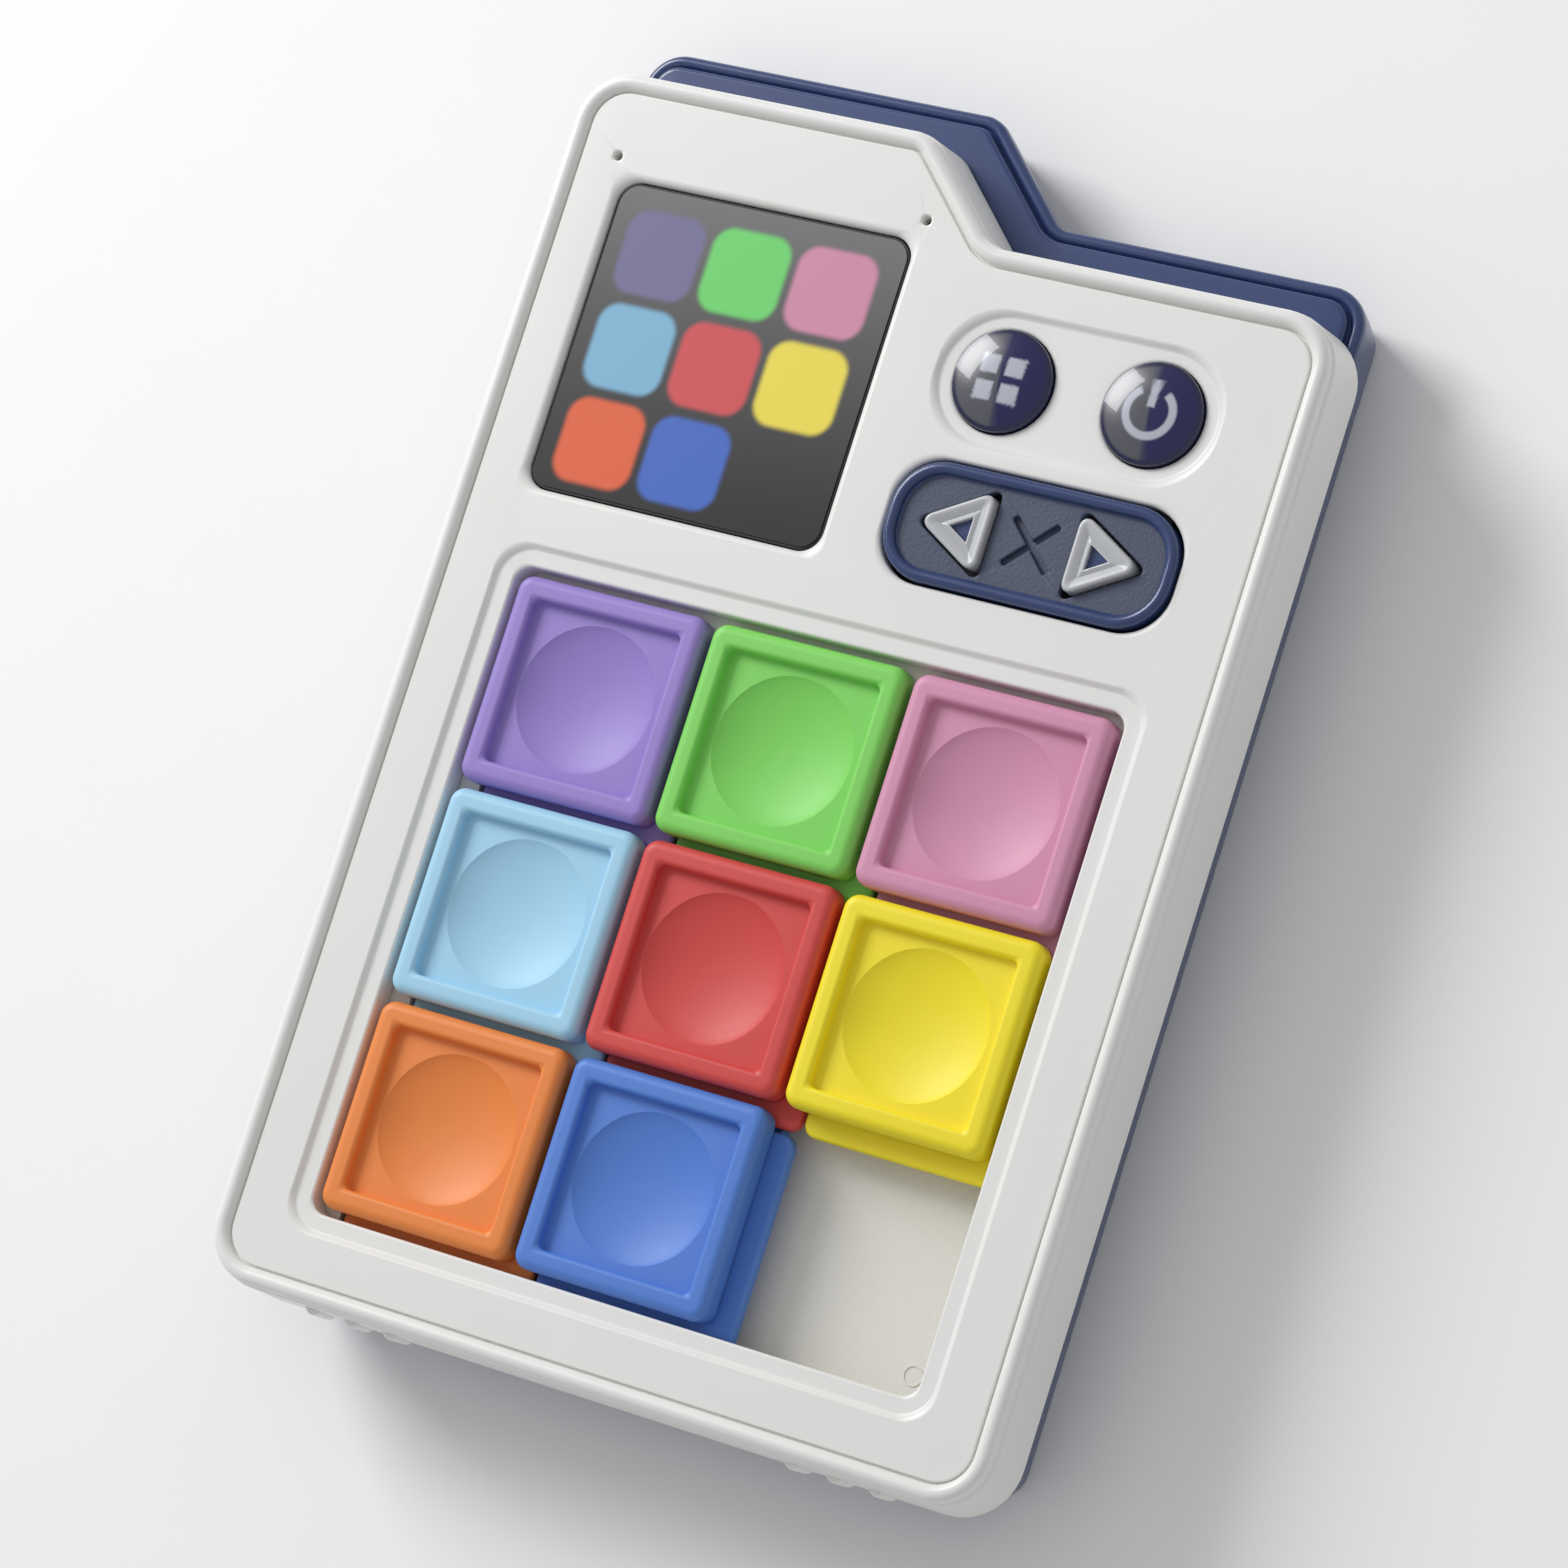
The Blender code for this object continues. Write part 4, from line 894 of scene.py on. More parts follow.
@dataclass
class RearShell:
    """Navy lower shell: rounded tub, beaded ledge, screw wells, grille and battery bay.

    Attributes:
        ledge: Corner radius of the tub.
        step_back: How far the ledge's step lies beyond the front shell's.
        step_foot: Radius in the stepped end's inner corner.
        step_head: Radius on the stepped end's outer corner.
        wall: Thickness of the tub's wall.
        ledge_thick: Thickness of the ledge.
        ring: Where the ring under the front shell starts and ends, inside its outline.
        neck: Where the ledge's foot of that ring starts, inside the front shell's outline.
        foot: Height of that foot above the ledge.
        floor: Height of the inner floor.
        well: Radius of the wells that the case screws sit in.
        well_depth: Depth of those wells.
        seat: Width of the seat round a screw's shank.
        pillar_top: Height of the pillars round the wells.
        end_room: What is left of the speaker's radius at the ends of a grille slot.
    """

    ledge: float = 5.0
    step_back: float = 2.6
    step_foot: float = 2.6
    step_head: float = 4.0
    wall: float = 2.0
    ledge_thick: float = 1.7
    ring: tuple[float, float] = (2.3, 7.65)
    neck: float = 5.7
    foot: float = 0.6
    floor: float = 2.2
    well: float = 2.7
    well_depth: float = 4.5
    seat: float = 1.25
    pillar_top: float = 7.7
    end_room: float = 2.5
    grille_pitch: float = 3.4
    grille_rows: int = 5
    slot_width: float = 1.6

    def plan(self) -> Outline:
        """Return the tub's outline."""
        half = REAR_HIGH.x
        low_ledge = LEDGE_TOP - STEP_DROP
        step_end = STEP_START + STEP_RUN + self.step_back
        return Outline((
            (-half, REAR_LOW.y, self.ledge),
            (half, REAR_LOW.y, self.ledge),
            (half, low_ledge, self.ledge),
            (step_end, low_ledge, self.step_foot),
            (step_end - STEP_RUN, LEDGE_TOP, self.step_head),
            (-half, LEDGE_TOP, self.ledge),
        ))

    def well_for(self, bm: BMesh, spot: Sequence[float]) -> Ends:
        """Build a screw well and the pillar round it.

        Args:
            bm: The shell's mesh.
            spot: The screw's place.

        Returns:
            The loop in the back and the loop in the inner floor.
        """
        round_edge = arc(-0.25, 0.25, 0.25, 270, 360, 3)
        seat = [(0.0, self.well_depth), (self.seat, self.well_depth)]
        inside = seat + [(self.seat, self.pillar_top)]
        outside = [(-1.0, self.pillar_top), (-1.0, self.floor)]
        loops = walk(bm, Outline.circle(spot, self.well), round_edge + inside + outside)
        return loops[0], loops[-1]

    def build(self, bay: BatteryBay) -> None:
        """Build the shell round its battery bay.

        Args:
            bay: The battery bay.
        """
        piece = Piece("rear_casing")
        bm = piece.bm
        top = LEDGE_Z
        plan = self.plan()
        tub = arc(2.8, 1.6, 1.6, 270, 200, 8) + [(0.95, 3.0), (0.4, 6.0), (0.0, top - 2.4)]
        beads = arc(0.85, top - 1.75, 0.85, 180, 40, 8) + [(1.68, top - 1.45), (1.82, top - 1.35)]
        beads += arc(2.45, top - 0.62, 0.62, 205, 90, 6)
        outside = walk(bm, plan, tub + beads)
        (start, end), foot, under = self.ring, top + self.foot, top - self.ledge_thick
        ring = [(start, foot), (start, REAR_HIGH.z), (end, REAR_HIGH.z), (end, under)]
        neck = walk(bm, FrontShell().plan(), [(self.neck, top), (self.neck, foot)] + ring)
        fill(bm, outside[-1], neck[0])
        inner = walk(bm, plan, [(self.wall, under), (self.wall, self.floor)])
        fill(bm, inner[0], neck[-1])
        wells = [self.well_for(bm, spot) for spot in CaseScrews.spots()]
        slots = [self.slot(bm, k) for k in range(self.grille_rows)]
        seat, foot = bay.cavity(bm, self.floor)
        openings = [*wells, *slots, (seat, foot)]
        fill(bm, outside[0], *(pair[0] for pair in openings))
        fill(bm, inner[-1], *(pair[1] for pair in openings))
        piece.finish("casing", Finish.NAVY.material(), "navy_abs", ["rear_shell"])

    def slot(self, bm: BMesh, row: int) -> Ends:
        """Cut one grille slot over the speaker.

        Args:
            bm: The shell's mesh.
            row: The slot's number, from the lowest.

        Returns:
            The loop in the back and the loop in the inner floor.
        """
        low, high = node_box("speaker")
        middle = (low + high) / 2
        radius = (high.x - low.x) / 2
        dy = (row - (self.grille_rows - 1) / 2) * self.grille_pitch
        reach = math.sqrt((radius - self.end_room) ** 2 - dy**2)
        size = (2 * reach, self.slot_width)
        shape = Outline.box((middle.x, middle.y + dy), size, self.slot_width / 2 * 0.999)
        loops = walk(bm, shape, arc(-0.2, 0.2, 0.2, 270, 360, 3) + [(0.0, self.floor)])
        return loops[0], loops[-1]


@dataclass
class BatteryBay:
    """Battery bay in the back: the seat for its door, the door and the two cells.

    Attributes:
        wall: Thickness of the bay's walls.
        end_room: Room for a contact at each end of the cells.
        side_room: Room beside the cells.
        grips: Number of finger grooves in the door.
        grip_pitch: Spacing of those grooves.
        grip_size: Length and width of a groove.
        tab_reach: Half width of the door's screw tab.
        screw_hole: Radius of the hole for the screw's head.
        foot_room: What the bay's foot adds to its length and width.
        foot_rise: Height of the foot above the door's seat.
        roof_thick: Thickness of the roof over the cells.
    """

    wall: float = 1.5
    end_room: float = 3.6
    side_room: float = 0.75
    grips: int = 5
    grip_pitch: float = 1.8
    grip_size: tuple[float, float] = (11.0, 0.8)
    tab_reach: float = 2.9
    screw_hole: float = 2.0
    foot_room: tuple[float, float] = (7.6, 14.0)
    foot_rise: float = 3.8
    roof_thick: float = 0.8

    def __post_init__(self) -> None:
        """Read the bay's place from its cells and its door."""
        upper_low, upper_high = node_box("battery_1")
        lower_low, _ = node_box("battery_2")
        self.low = Vector((upper_low.x - self.end_room, lower_low.y - self.side_room))
        self.high = Vector((upper_high.x + self.end_room, upper_high.y + self.side_room))
        self.middle = (self.low + self.high) / 2
        self.size = self.high - self.low
        self.roof = upper_high.z + GAP
        self.door_low, self.door_high = node_box("battery_door")
        self.tab = node_middle("door_screw")

    def door_outline(self, grow: float = 0.0) -> Outline:
        """Return the door's outline: a plate with a rounded screw tab.

        Args:
            grow: Extra size all round.

        Returns:
            The outline.
        """
        left, right = self.door_low.x, self.door_high.x
        top = self.door_high.y
        plate = 2 * self.middle.y - top
        reach = self.tab_reach
        shape = Outline((
            (left, plate, 2.0),
            (self.tab.x - reach, plate, 0.6),
            (self.tab.x - reach, self.tab.y - reach, reach * 0.99),
            (self.tab.x + reach, self.tab.y - reach, reach * 0.99),
            (self.tab.x + reach, plate, 0.6),
            (right, plate, 2.0),
            (right, top, 2.0),
            (left, top, 2.0),
        ))
        return shape.inset(-grow) if grow else shape

    def cavity(self, bm: BMesh, floor: float) -> Ends:
        """Build the door's seat and the bay's inner and outer walls.

        Args:
            bm: The rear shell's mesh.
            floor: Height of the shell's inner floor.

        Returns:
            The loop in the back and the loop in the inner floor.
        """
        seat_z = self.door_high.z + GAP
        seat = walk(bm, self.door_outline(GAP), [(0.0, 0.0), (0.0, seat_z)])
        bay = Outline.box(self.middle, self.size, 1.0)
        inside = walk(bm, bay, [(0.0, seat_z), (0.0, self.roof)])
        fill(bm, inside[-1])
        pilot = walk(bm, Outline.circle(self.tab.xy, 1.1), [(0.0, seat_z), (0.0, seat_z + 3.0)])
        fill(bm, pilot[-1])
        fill(bm, seat[-1], inside[0], pilot[0])
        foot = Outline.box(self.middle, self.size + Vector(self.foot_room), 2.0)
        foot_z = seat_z + self.foot_rise
        shell = walk(bm, foot, [(0.0, floor), (0.0, foot_z)])
        roof_z = self.roof + self.roof_thick
        tall = walk(bm, bay.inset(-self.wall), [(0.0, foot_z), (0.0, roof_z)])
        fill(bm, tall[-1])
        fill(bm, shell[-1], tall[0])
        return seat[0], shell[0]

    def build_door(self) -> None:
        """Build the door with its grips and screw seat."""
        piece = Piece("battery_cover")
        bm = piece.bm
        low, high = self.door_low.z, self.door_high.z
        shape = self.door_outline()
        side = walk(bm, shape, arc(0.3, low + 0.3, 0.3, 270, 180, 4) + [(0.0, high)])
        head = [(-0.15, low), (0.0, low + 0.15), (0.0, low + 0.7)]
        shank = [(0.9, low + 0.7), (0.9, high)]
        hole = walk(bm, Outline.circle(self.tab.xy, self.screw_hole), head + shank)
        grooves = []
        # The soft step is drawn downwards from 0 and then turned over, into the door's outer face.
        profile = soft_step(-0.1, 0.35, 0.0, 0.4, 4)
        for k in range(self.grips):
            y = self.middle.y + (k - (self.grips - 1) / 2) * self.grip_pitch
            groove = Outline.box((self.middle.x, y), self.grip_size, 0.39)
            loops = walk(bm, groove, profile)
            for loop, (_, z) in zip(loops, profile):
                for vert in {v for edge in loop for v in edge.verts}:
                    vert.co.z = low - z
            fill(bm, loops[-1])
            grooves.append(loops[0])
        fill(bm, side[0], hole[0], *grooves)
        fill(bm, side[-1], hole[-1])
        piece.finish("battery_door", Finish.NAVY.material(), "navy_abs", ["battery_door"])

    def build_cell(self, node: str, direction: int) -> None:
        """Turn one cell from its profile.

        Args:
            node: The frame node that it stands for.
            direction: 1 if the plus end is on the right, otherwise -1.
        """
        low, high = node_box(node)
        middle = (low + high) / 2
        half, radius = (high.x - low.x) / 2, (high.z - low.z) / 2
        minus = [(-half, 0.0), (-half, radius - 0.9), (-half + 0.15, radius - 0.5)]
        jacket = [(-half + 0.5, radius), (half - 2.0, radius)]
        shoulder = [(half - 1.4, radius - 0.5), (half - 1.3, radius - 1.0)]
        cap = [(half - 1.0, 2.0), (half - 0.3, 1.9), (half, 1.5), (half, 0.0)]
        profile, along = minus + jacket + shoulder + cap, Vector((direction, 0, 0))
        turned(
            f"{node}_cell", profile, middle, along, "casing", Finish.JACKET, "cell_jacket", node,
        )


def turned(
    name: str, profile: Sequence[Station], middle: Vector, along: Vector, rides_on: str,
    look: Finish, slot: str, node: str,
) -> bpy.types.Object:
    """Spin a profile into a closed round piece.

    Args:
        name: The piece's name.
        profile: (distance along the axis, radius), both ends on the axis.
        middle: Where distance 0 lies, in board millimetres.
        along: The axis.
        rides_on: The frame body that carries it.
        look: Its finish.
        slot: The record's material slot.
        node: The frame node that it stands for.

    Returns:
        The object.
    """
    piece = Piece(name)
    bm = piece.bm
    verts = [bm.verts.new((r, 0.0, d)) for d, r in profile]
    edges = [bm.edges.new(pair) for pair in zip(verts, verts[1:])]
    bmesh.ops.spin(
        bm, geom=verts + edges, cent=(0, 0, 0), axis=(0, 0, 1), angle=math.tau, steps=48,
        use_merge=True,
    )
    bmesh.ops.remove_doubles(bm, verts=bm.verts, dist=TINY)
    turn = along.to_track_quat("Z", "Y").to_matrix().to_4x4()
    place = Matrix.Translation(middle)
    bmesh.ops.transform(bm, matrix=place @ turn, verts=bm.verts)
    return piece.finish(rides_on, look.material(), slot, [node])


@dataclass
class CaseScrews:
    """Pan-head screws with a cross recess.

    Attributes:
        arm: Half length of the recess's arms, as a share of the head's radius.
        slot: Half width of the arms.
        large: Head radius from which a head is a thick pan head.
        pan: Thickness of a pan head.
        thin: Thickness of a thin flat head.
        shank: How far the shank lies inside the head, as a share of the head's radius.
    """

    arm: float = 0.62
    slot: float = 0.34
    large: float = 2.0
    pan: float = 1.2
    thin: float = 0.35
    shank: float = 0.52

    @staticmethod
    def names() -> list[str]:
        """Return the six case screws' node names."""
        return [f"case_screw_{i}" for i in range(1, 7)]

    @staticmethod
    def spots() -> list[Vector]:
        """Return the case screws' places."""
        return [node_middle(name).xy for name in CaseScrews.names()]

    def build(self, node: str, rides_on: str, depth: float) -> None:
        """Build one screw.

        Args:
            node: The frame node that it stands for.
            rides_on: The body that carries it.
            depth: Depth of its cross recess.
        """
        low, high = node_box(node)
        middle = ((low + high) / 2).xy
        radius = (high.x - low.x) / 2
        piece = Piece(f"{node}_cross_head")
        bm = piece.bm
        thick = self.pan if radius > self.large else self.thin
        edge = min(0.45, thick * 0.8)
        under = low.z + thick
        head = arc(edge, low.z + edge, edge, 270, 180, 5) + [(0.0, under)]
        inset = radius * self.shank
        tip = [(inset, under), (inset, high.z - 0.8), (radius - 0.3, high.z)]
        loops = walk(bm, Outline.circle(middle, radius), head + tip)
        fill(bm, loops[-1])
        cross = cross_outline(middle, self.arm * radius, self.slot, (0.1, 0.08), 0.0, 2)
        recess = walk(bm, cross, [(0.0, low.z), (0.12, low.z + depth)])
        fill(bm, recess[-1])
        fill(bm, loops[0], recess[0])
        piece.finish(rides_on, Finish.ZINC.material(), "screw_steel", [node])


# --- Screen and keys -------------------------------------------------------------------------


@dataclass
class Screen:
    """Lit colour display behind an acrylic window, showing the arrangement to copy, under a
    painted reflection.

    Attributes:
        icon: Side of one coloured square.
        pitch_x: Spacing of the squares along a row.
        pitch_y: Spacing of the rows.
        first: Middle of the first square.
        corner: Corner radius of a square.
        blur: Width of their soft edges.
        grid: Number of points across that hold the picture.
        border: How much narrower the window is than its opening.
    """

    PIN = 0.6  # radius of the small holes above the screen

    icon: float = 10.7
    pitch_x: float = 11.85
    pitch_y: float = 12.1
    first: tuple[float, float] = (-35.6, 81.8)
    corner: float = 2.7
    blur: float = 0.9
    grid: int = 150
    border: float = 1.0

    @staticmethod
    def outline(shell: FrontShell) -> Outline:
        """Return the screen opening's outline.

        Args:
            shell: The shell, which holds the opening's size.

        Returns:
            The outline, round the middle of the window's own node.
        """
        return Outline.box(node_middle("screen_lens").xy, shell.screen_size, shell.screen_corner)

    @staticmethod
    def pins(shell: FrontShell) -> list[tuple[float, float]]:
        """Return the two small holes above the screen's corners.

        Args:
            shell: The shell, which holds the opening's size.

        Returns:
            Their middles.
        """
        middle = node_middle("screen_lens")
        half = Vector(shell.screen_size) / 2
        y = middle.y + half.y + 2.5
        return [(middle.x - half.x - 1.4, y), (middle.x + half.x + 0.7, y)]

    def colour_at(self, spot: Vector) -> tuple[float, ...]:
        """Work out the picture's colour at a point: lit squares over a painted reflection.

        Args:
            spot: The point, in board millimetres.

        Returns:
            Linear RGBA.
        """
        low, high = node_box("screen_lens")
        rise = (spot.y - low.y) / (high.y - low.y)
        # Painted reflection: near-black at the window's foot, rising to grey at its top, stands in
        # for the studio light mirrored in the acrylic.
        dark, pale = Vector(linear("020203")), Vector(linear("707072"))
        colour = dark.lerp(pale, max(0.0, min(1.0, rise)) ** 1.6)
        for index, tile in enumerate(TileColour):
            row, column = divmod(index, 3)
            dx = abs(spot.x - self.first[0] - column * self.pitch_x) - self.icon / 2 + self.corner
            dy = abs(spot.y - self.first[1] + row * self.pitch_y) - self.icon / 2 + self.corner
            outside = math.hypot(max(dx, 0.0), max(dy, 0.0)) + min(max(dx, dy), 0.0) - self.corner
            share = max(0.0, min(1.0, 0.5 - outside / self.blur))
            if share > 0:
                lit = Vector(linear(tile.value[3]))
                colour = colour.lerp(lit, share * share * (3 - 2 * share))
        return tuple(colour)

    def build(self, shell: FrontShell) -> None:
        """Build the window with its picture, and its black rim.

        Args:
            shell: The shell that the window fills.
        """
        low, high = node_box("screen_lens")
        outline = self.outline(shell).inset(0.15)
        rim = Piece("screen_gasket")
        rounded_block(rim.bm, outline, low.z, high.z - 0.15, 0.12)
        rim.finish("casing", Finish.BLACK.material(), "black_plastic")
        piece = Piece("screen_window")
        bm = piece.bm
        middle = (low + high) / 2
        width, height = (side - self.border for side in shell.screen_size)
        span = Matrix.Diagonal((width, height, 1.0, 1.0))
        place = Matrix.Translation((middle.x, middle.y, high.z)) @ span
        bmesh.ops.create_grid(
            bm, x_segments=self.grid, y_segments=self.grid, size=0.5, matrix=place,
        )
        edges = [e for e in bm.edges if e.is_boundary]
        down = bmesh.ops.extrude_edge_only(bm, edges=edges)["geom"]
        verts = [v for v in down if isinstance(v, bmesh.types.BMVert)]
        bmesh.ops.translate(bm, verts=verts, vec=(0, 0, -0.1))
        fill(bm, [e for e in down if isinstance(e, BMEdge) and e.is_boundary])
        self.round_corners(bm, middle, shell)
        shown = ["screen_lens", "lcd_module"]
        window = piece.finish("casing", Finish.DISPLAY.material(), "screen_face", shown)
        paint(window, self.colour_at)

    def round_corners(self, bm: BMesh, middle: Vector, shell: FrontShell) -> None:
        """Pull the grid's corners in to the opening's rounded corners.

        Args:
            bm: The window's mesh.
            middle: The window's middle.
            shell: The shell, which holds the corner radius.
        """
        trim = self.border / 2
        half = Vector(shell.screen_size) / 2 - Vector((trim, trim))
        radius = shell.screen_corner - trim
        for vert in bm.verts:
            dx, dy = vert.co.x - middle.x, vert.co.y - middle.y
            over = Vector((abs(dx) - half.x + radius, abs(dy) - half.y + radius))
            if over.x > 0 and over.y > 0:
                square = max(over.x, over.y)
                fitted = over * (square / over.length)
                vert.co.x = middle.x + math.copysign(half.x - radius + fitted.x, dx)
                vert.co.y = middle.y + math.copysign(half.y - radius + fitted.y, dy)


@dataclass
class ButtonPanel:
    """Two round domed buttons above the arrow keys in their ringed plate.

    Attributes:
        radius: Radius of a round button.
        air: Gap round a round button.
        ring: Width of the plate's raised ring.
        ring_rise: How far the ring stands above the face.
        nav_size: Length and width of the plate.
        nav_corner: Corner radius of the plate.
        plate_drop: How far the plate lies below the face.
        plate_thick: Thickness of the plate.
        cross: Half length of the engraved cross's arms.
        cross_width: Half width of those arms.
        arrow_base: Distance from the plate's middle to an arrow key's flat side.
        arrow_tip: Distance from the plate's middle to the key's tip, before rounding.
        arrow_half: Half the height of the key's flat side, before rounding.
        arrow_rise: How far the key stands above the face.
        pit: How far the key's pit lies inside its outline.
        dome_rings: Rings of points over a dome.
        dome_drop: How much lower a dome's edge is than its top.
        glyph: The symbols' colour.
        glyph_blur: Width of the symbols' soft edges.
        power: Radius of the power symbol's ring.
        stroke: Half width of its strokes.
        power_gap: Half angle of the ring's gap, in degrees.
        tile_mark: Distance of the menu symbol's squares from the middle.
        tile_half: Half side of those squares.
    """

    radius: float = 6.3
    air: float = 0.12
    ring: float = 1.5
    ring_rise: float = 0.8
    nav_size: tuple[float, float] = (37.2, 14.8)
    nav_corner: float = 6.4
    plate_drop: float = 0.2
    plate_thick: float = 1.2
    cross: float = 4.1
    cross_width: float = 0.42
    arrow_base: float = 5.5
    arrow_tip: float = 14.6
    arrow_half: float = 5.3
    arrow_rise: float = 0.85
    pit: float = 2.16
    dome_rings: int = 56
    dome_drop: float = 0.95
    glyph: str = "B9BECB"
    glyph_blur: float = 0.22
    power: float = 2.9
    stroke: float = 0.48
    power_gap: float = 34.0
    tile_mark: float = 1.65
    tile_half: float = 1.15

    def spots(self) -> list[Vector]:
        """Return the round buttons' middles, left first."""
        return [node_middle(name).xy for name in ("mode_button", "power_button")]

    def button_middle(self) -> Vector:
        """Return the point midway between the round buttons."""
        left, right = self.spots()
        return (left + right) / 2

    def nav_middle(self) -> Vector:
        """Return the middle of the arrow keys' plate."""
        return node_middle("nav_bezel").xy

    def nav_outline(self) -> Outline:
        """Return the arrow keys' plate."""
        return Outline.box(self.nav_middle(), self.nav_size, self.nav_corner)

    def arrow(self, node: str) -> Outline:
        """Return an arrow key's outline.

        Args:
            node: The key's node.

        Returns:
            Its rounded triangle, pointing away from the plate's middle.
        """
        middle = self.nav_middle()
        side = 1 if node.startswith("right") else -1
        base, tip = middle.x + side * self.arrow_base, middle.x + side * self.arrow_tip
        half, bend = self.arrow_half, 1.2
        low, high = middle.y - half, middle.y + half
        corners = [(base, low, bend), (tip, middle.y, bend), (base, high, bend)]
        return Outline(tuple(corners[::side]), 8)

    def build_plate(self) -> None:
        """Build the raised ring and the grained plate inside it."""
        low, _ = node_box("nav_bezel")
        top = FACE_Z + self.ring_rise
        half = self.ring / 2
        plate_z = FACE_Z - self.plate_drop
        ring = Piece("arrow_key_ring")
        outline = self.nav_outline()
        bead = arc(half, top - half, half, 180, 0, 12)
        inset = self.ring + 0.25
        inside = [(self.ring + 0.02, plate_z + 0.1), (inset, plate_z - 0.06), (inset, low.z)]
        loops = walk(ring.bm, outline, [(0.0, low.z)] + bead + inside)
        bridge(ring.bm, [loops[-1], loops[0]])
        ring.finish("casing", Finish.NAVY.material(), "navy_abs", ["nav_bezel"])
        plate = Piece("arrow_key_plate")
        bm = plate.bm
        inner = outline.inset(self.ring + 0.2)
        under = plate_z - self.plate_thick
        side = walk(bm, inner, [(0.0, under), (0.0, plate_z)])
        edge = arc(-0.15, plate_z - 0.15, 0.15, 90, 0, 3) + [(0.0, under)]
        holes = [walk(bm, self.arrow(key).inset(-GAP), edge) for key in ARROW_KEYS]
        cross = cross_outline(
            self.nav_middle(), self.cross, self.cross_width, (0.3, 0.1), math.pi / 4, 4,
        )
        groove = walk(bm, cross, [(-0.12, plate_z), (0.0, plate_z - 0.12), (0.05, plate_z - 0.75)])
        fill(bm, groove[-1])
        fill(bm, side[-1], groove[0], *(hole[0] for hole in holes))
        fill(bm, side[0], *(hole[-1] for hole in holes))
        plate.finish("casing", Finish.SLATE.material(), "navy_abs")

    def build_arrow(self, node: str) -> None:
        """Build one frosted arrow key with its three-cornered pit.

        Args:
            node: The frame node that it stands for.
        """
        low, _ = node_box(node)
        piece = Piece(f"{node}_frosted")
        bm = piece.bm
        top = FACE_Z + self.arrow_rise
        wall = [(0.0, low.z)] + arc(0.4, top - 0.4, 0.4, 180, 70, 5)
        trough = [(0.9, top - 0.16), (1.5, top - 0.5), (1.85, top - 0.34)]
        lip = [(1.98, top - 0.24), (2.12, top - 0.28), (self.pit, top - 1.3)]
        loops = walk(bm, self.arrow(node), wall + trough + lip)
        fill(bm, loops[0])
        fill(bm, loops[-1])
        piece.finish(node, Finish.KEY.material(), "key_clear", [node])
        pit = Piece(f"{node}_pit")
        floor = self.arrow(node).inset(self.pit + 0.01)
        rounded_block(pit.bm, floor, top - 1.29, top - 0.9, 0.05)
        pit.finish(node, Finish.NAVY.material(), "navy_abs")

    def glyph_share(self, node: str, spot: Vector, middle: Vector) -> float:
        """Say how far a point lies in a button's symbol.

        Args:
            node: The button's node.
            spot: The point.
            middle: The button's middle.

        Returns:
            1 inside the symbol, 0 outside, and between the two at its edge.
        """
        x, y = spot.x - middle.x, spot.y - middle.y
        if node == "power_button":
            angle = abs(math.degrees(math.atan2(x, y)))
            ring = abs(math.hypot(x, y) - self.power) - self.stroke
            arc_part = ring if angle > self.power_gap else 1.0
            stem = max(abs(x) - self.stroke, abs(y - 2.3) - 1.7)
            distance = min(arc_part, stem)
        else:
            dx = abs(abs(x) - self.tile_mark) - self.tile_half
            dy = abs(abs(y) - self.tile_mark) - self.tile_half
            distance = max(dx, dy)
        return max(0.0, min(1.0, 0.5 - distance / self.glyph_blur))

    def build_button(self, node: str) -> None:
        """Build one domed button with its symbol under clear resin.

        Args:
            node: The frame node that it stands for.
        """
        low, high = node_box(node)
        middle = (low + high) / 2
        top = high.z - middle.z
        radius = self.radius
        dome = []
        for k in range(self.dome_rings + 1):
            share = k / self.dome_rings
            dome.append((top - self.dome_drop * share**2.4, radius * 0.985 * share))
        profile = [(-top, 0.0), (-top, radius), (dome[-1][0] - 0.2, radius)] + dome[::-1]
        up = Vector((0, 0, 1))
        thing = turned(
            f"{node}_dome", profile, middle, up, node, Finish.LABEL, "button_gloss", node,
        )
        grey, navy, mark = (Vector(linear(c)) for c in ("55555F", "0D1050", self.glyph))
        rim = Vector(linear("0E1240"))

        def colour_at(spot: Vector) -> tuple[float, ...]:
            """Give the label's linear colour at a point of this button."""
            away = math.hypot(spot.x - middle.x, spot.y - middle.y)
            split = (spot.x - middle.x) + 0.12 * (spot.y - middle.y)
            share = max(0.0, min(1.0, 0.5 + split / 0.3))
            colour = grey.lerp(navy, share)
            colour = colour.lerp(mark, self.glyph_share(node, spot, middle))
            return tuple(colour.lerp(rim, max(0.0, min(1.0, (away - radius + 0.75) / 0.3))))

        paint(thing, colour_at)


# --- Tiles -----------------------------------------------------------------------------------


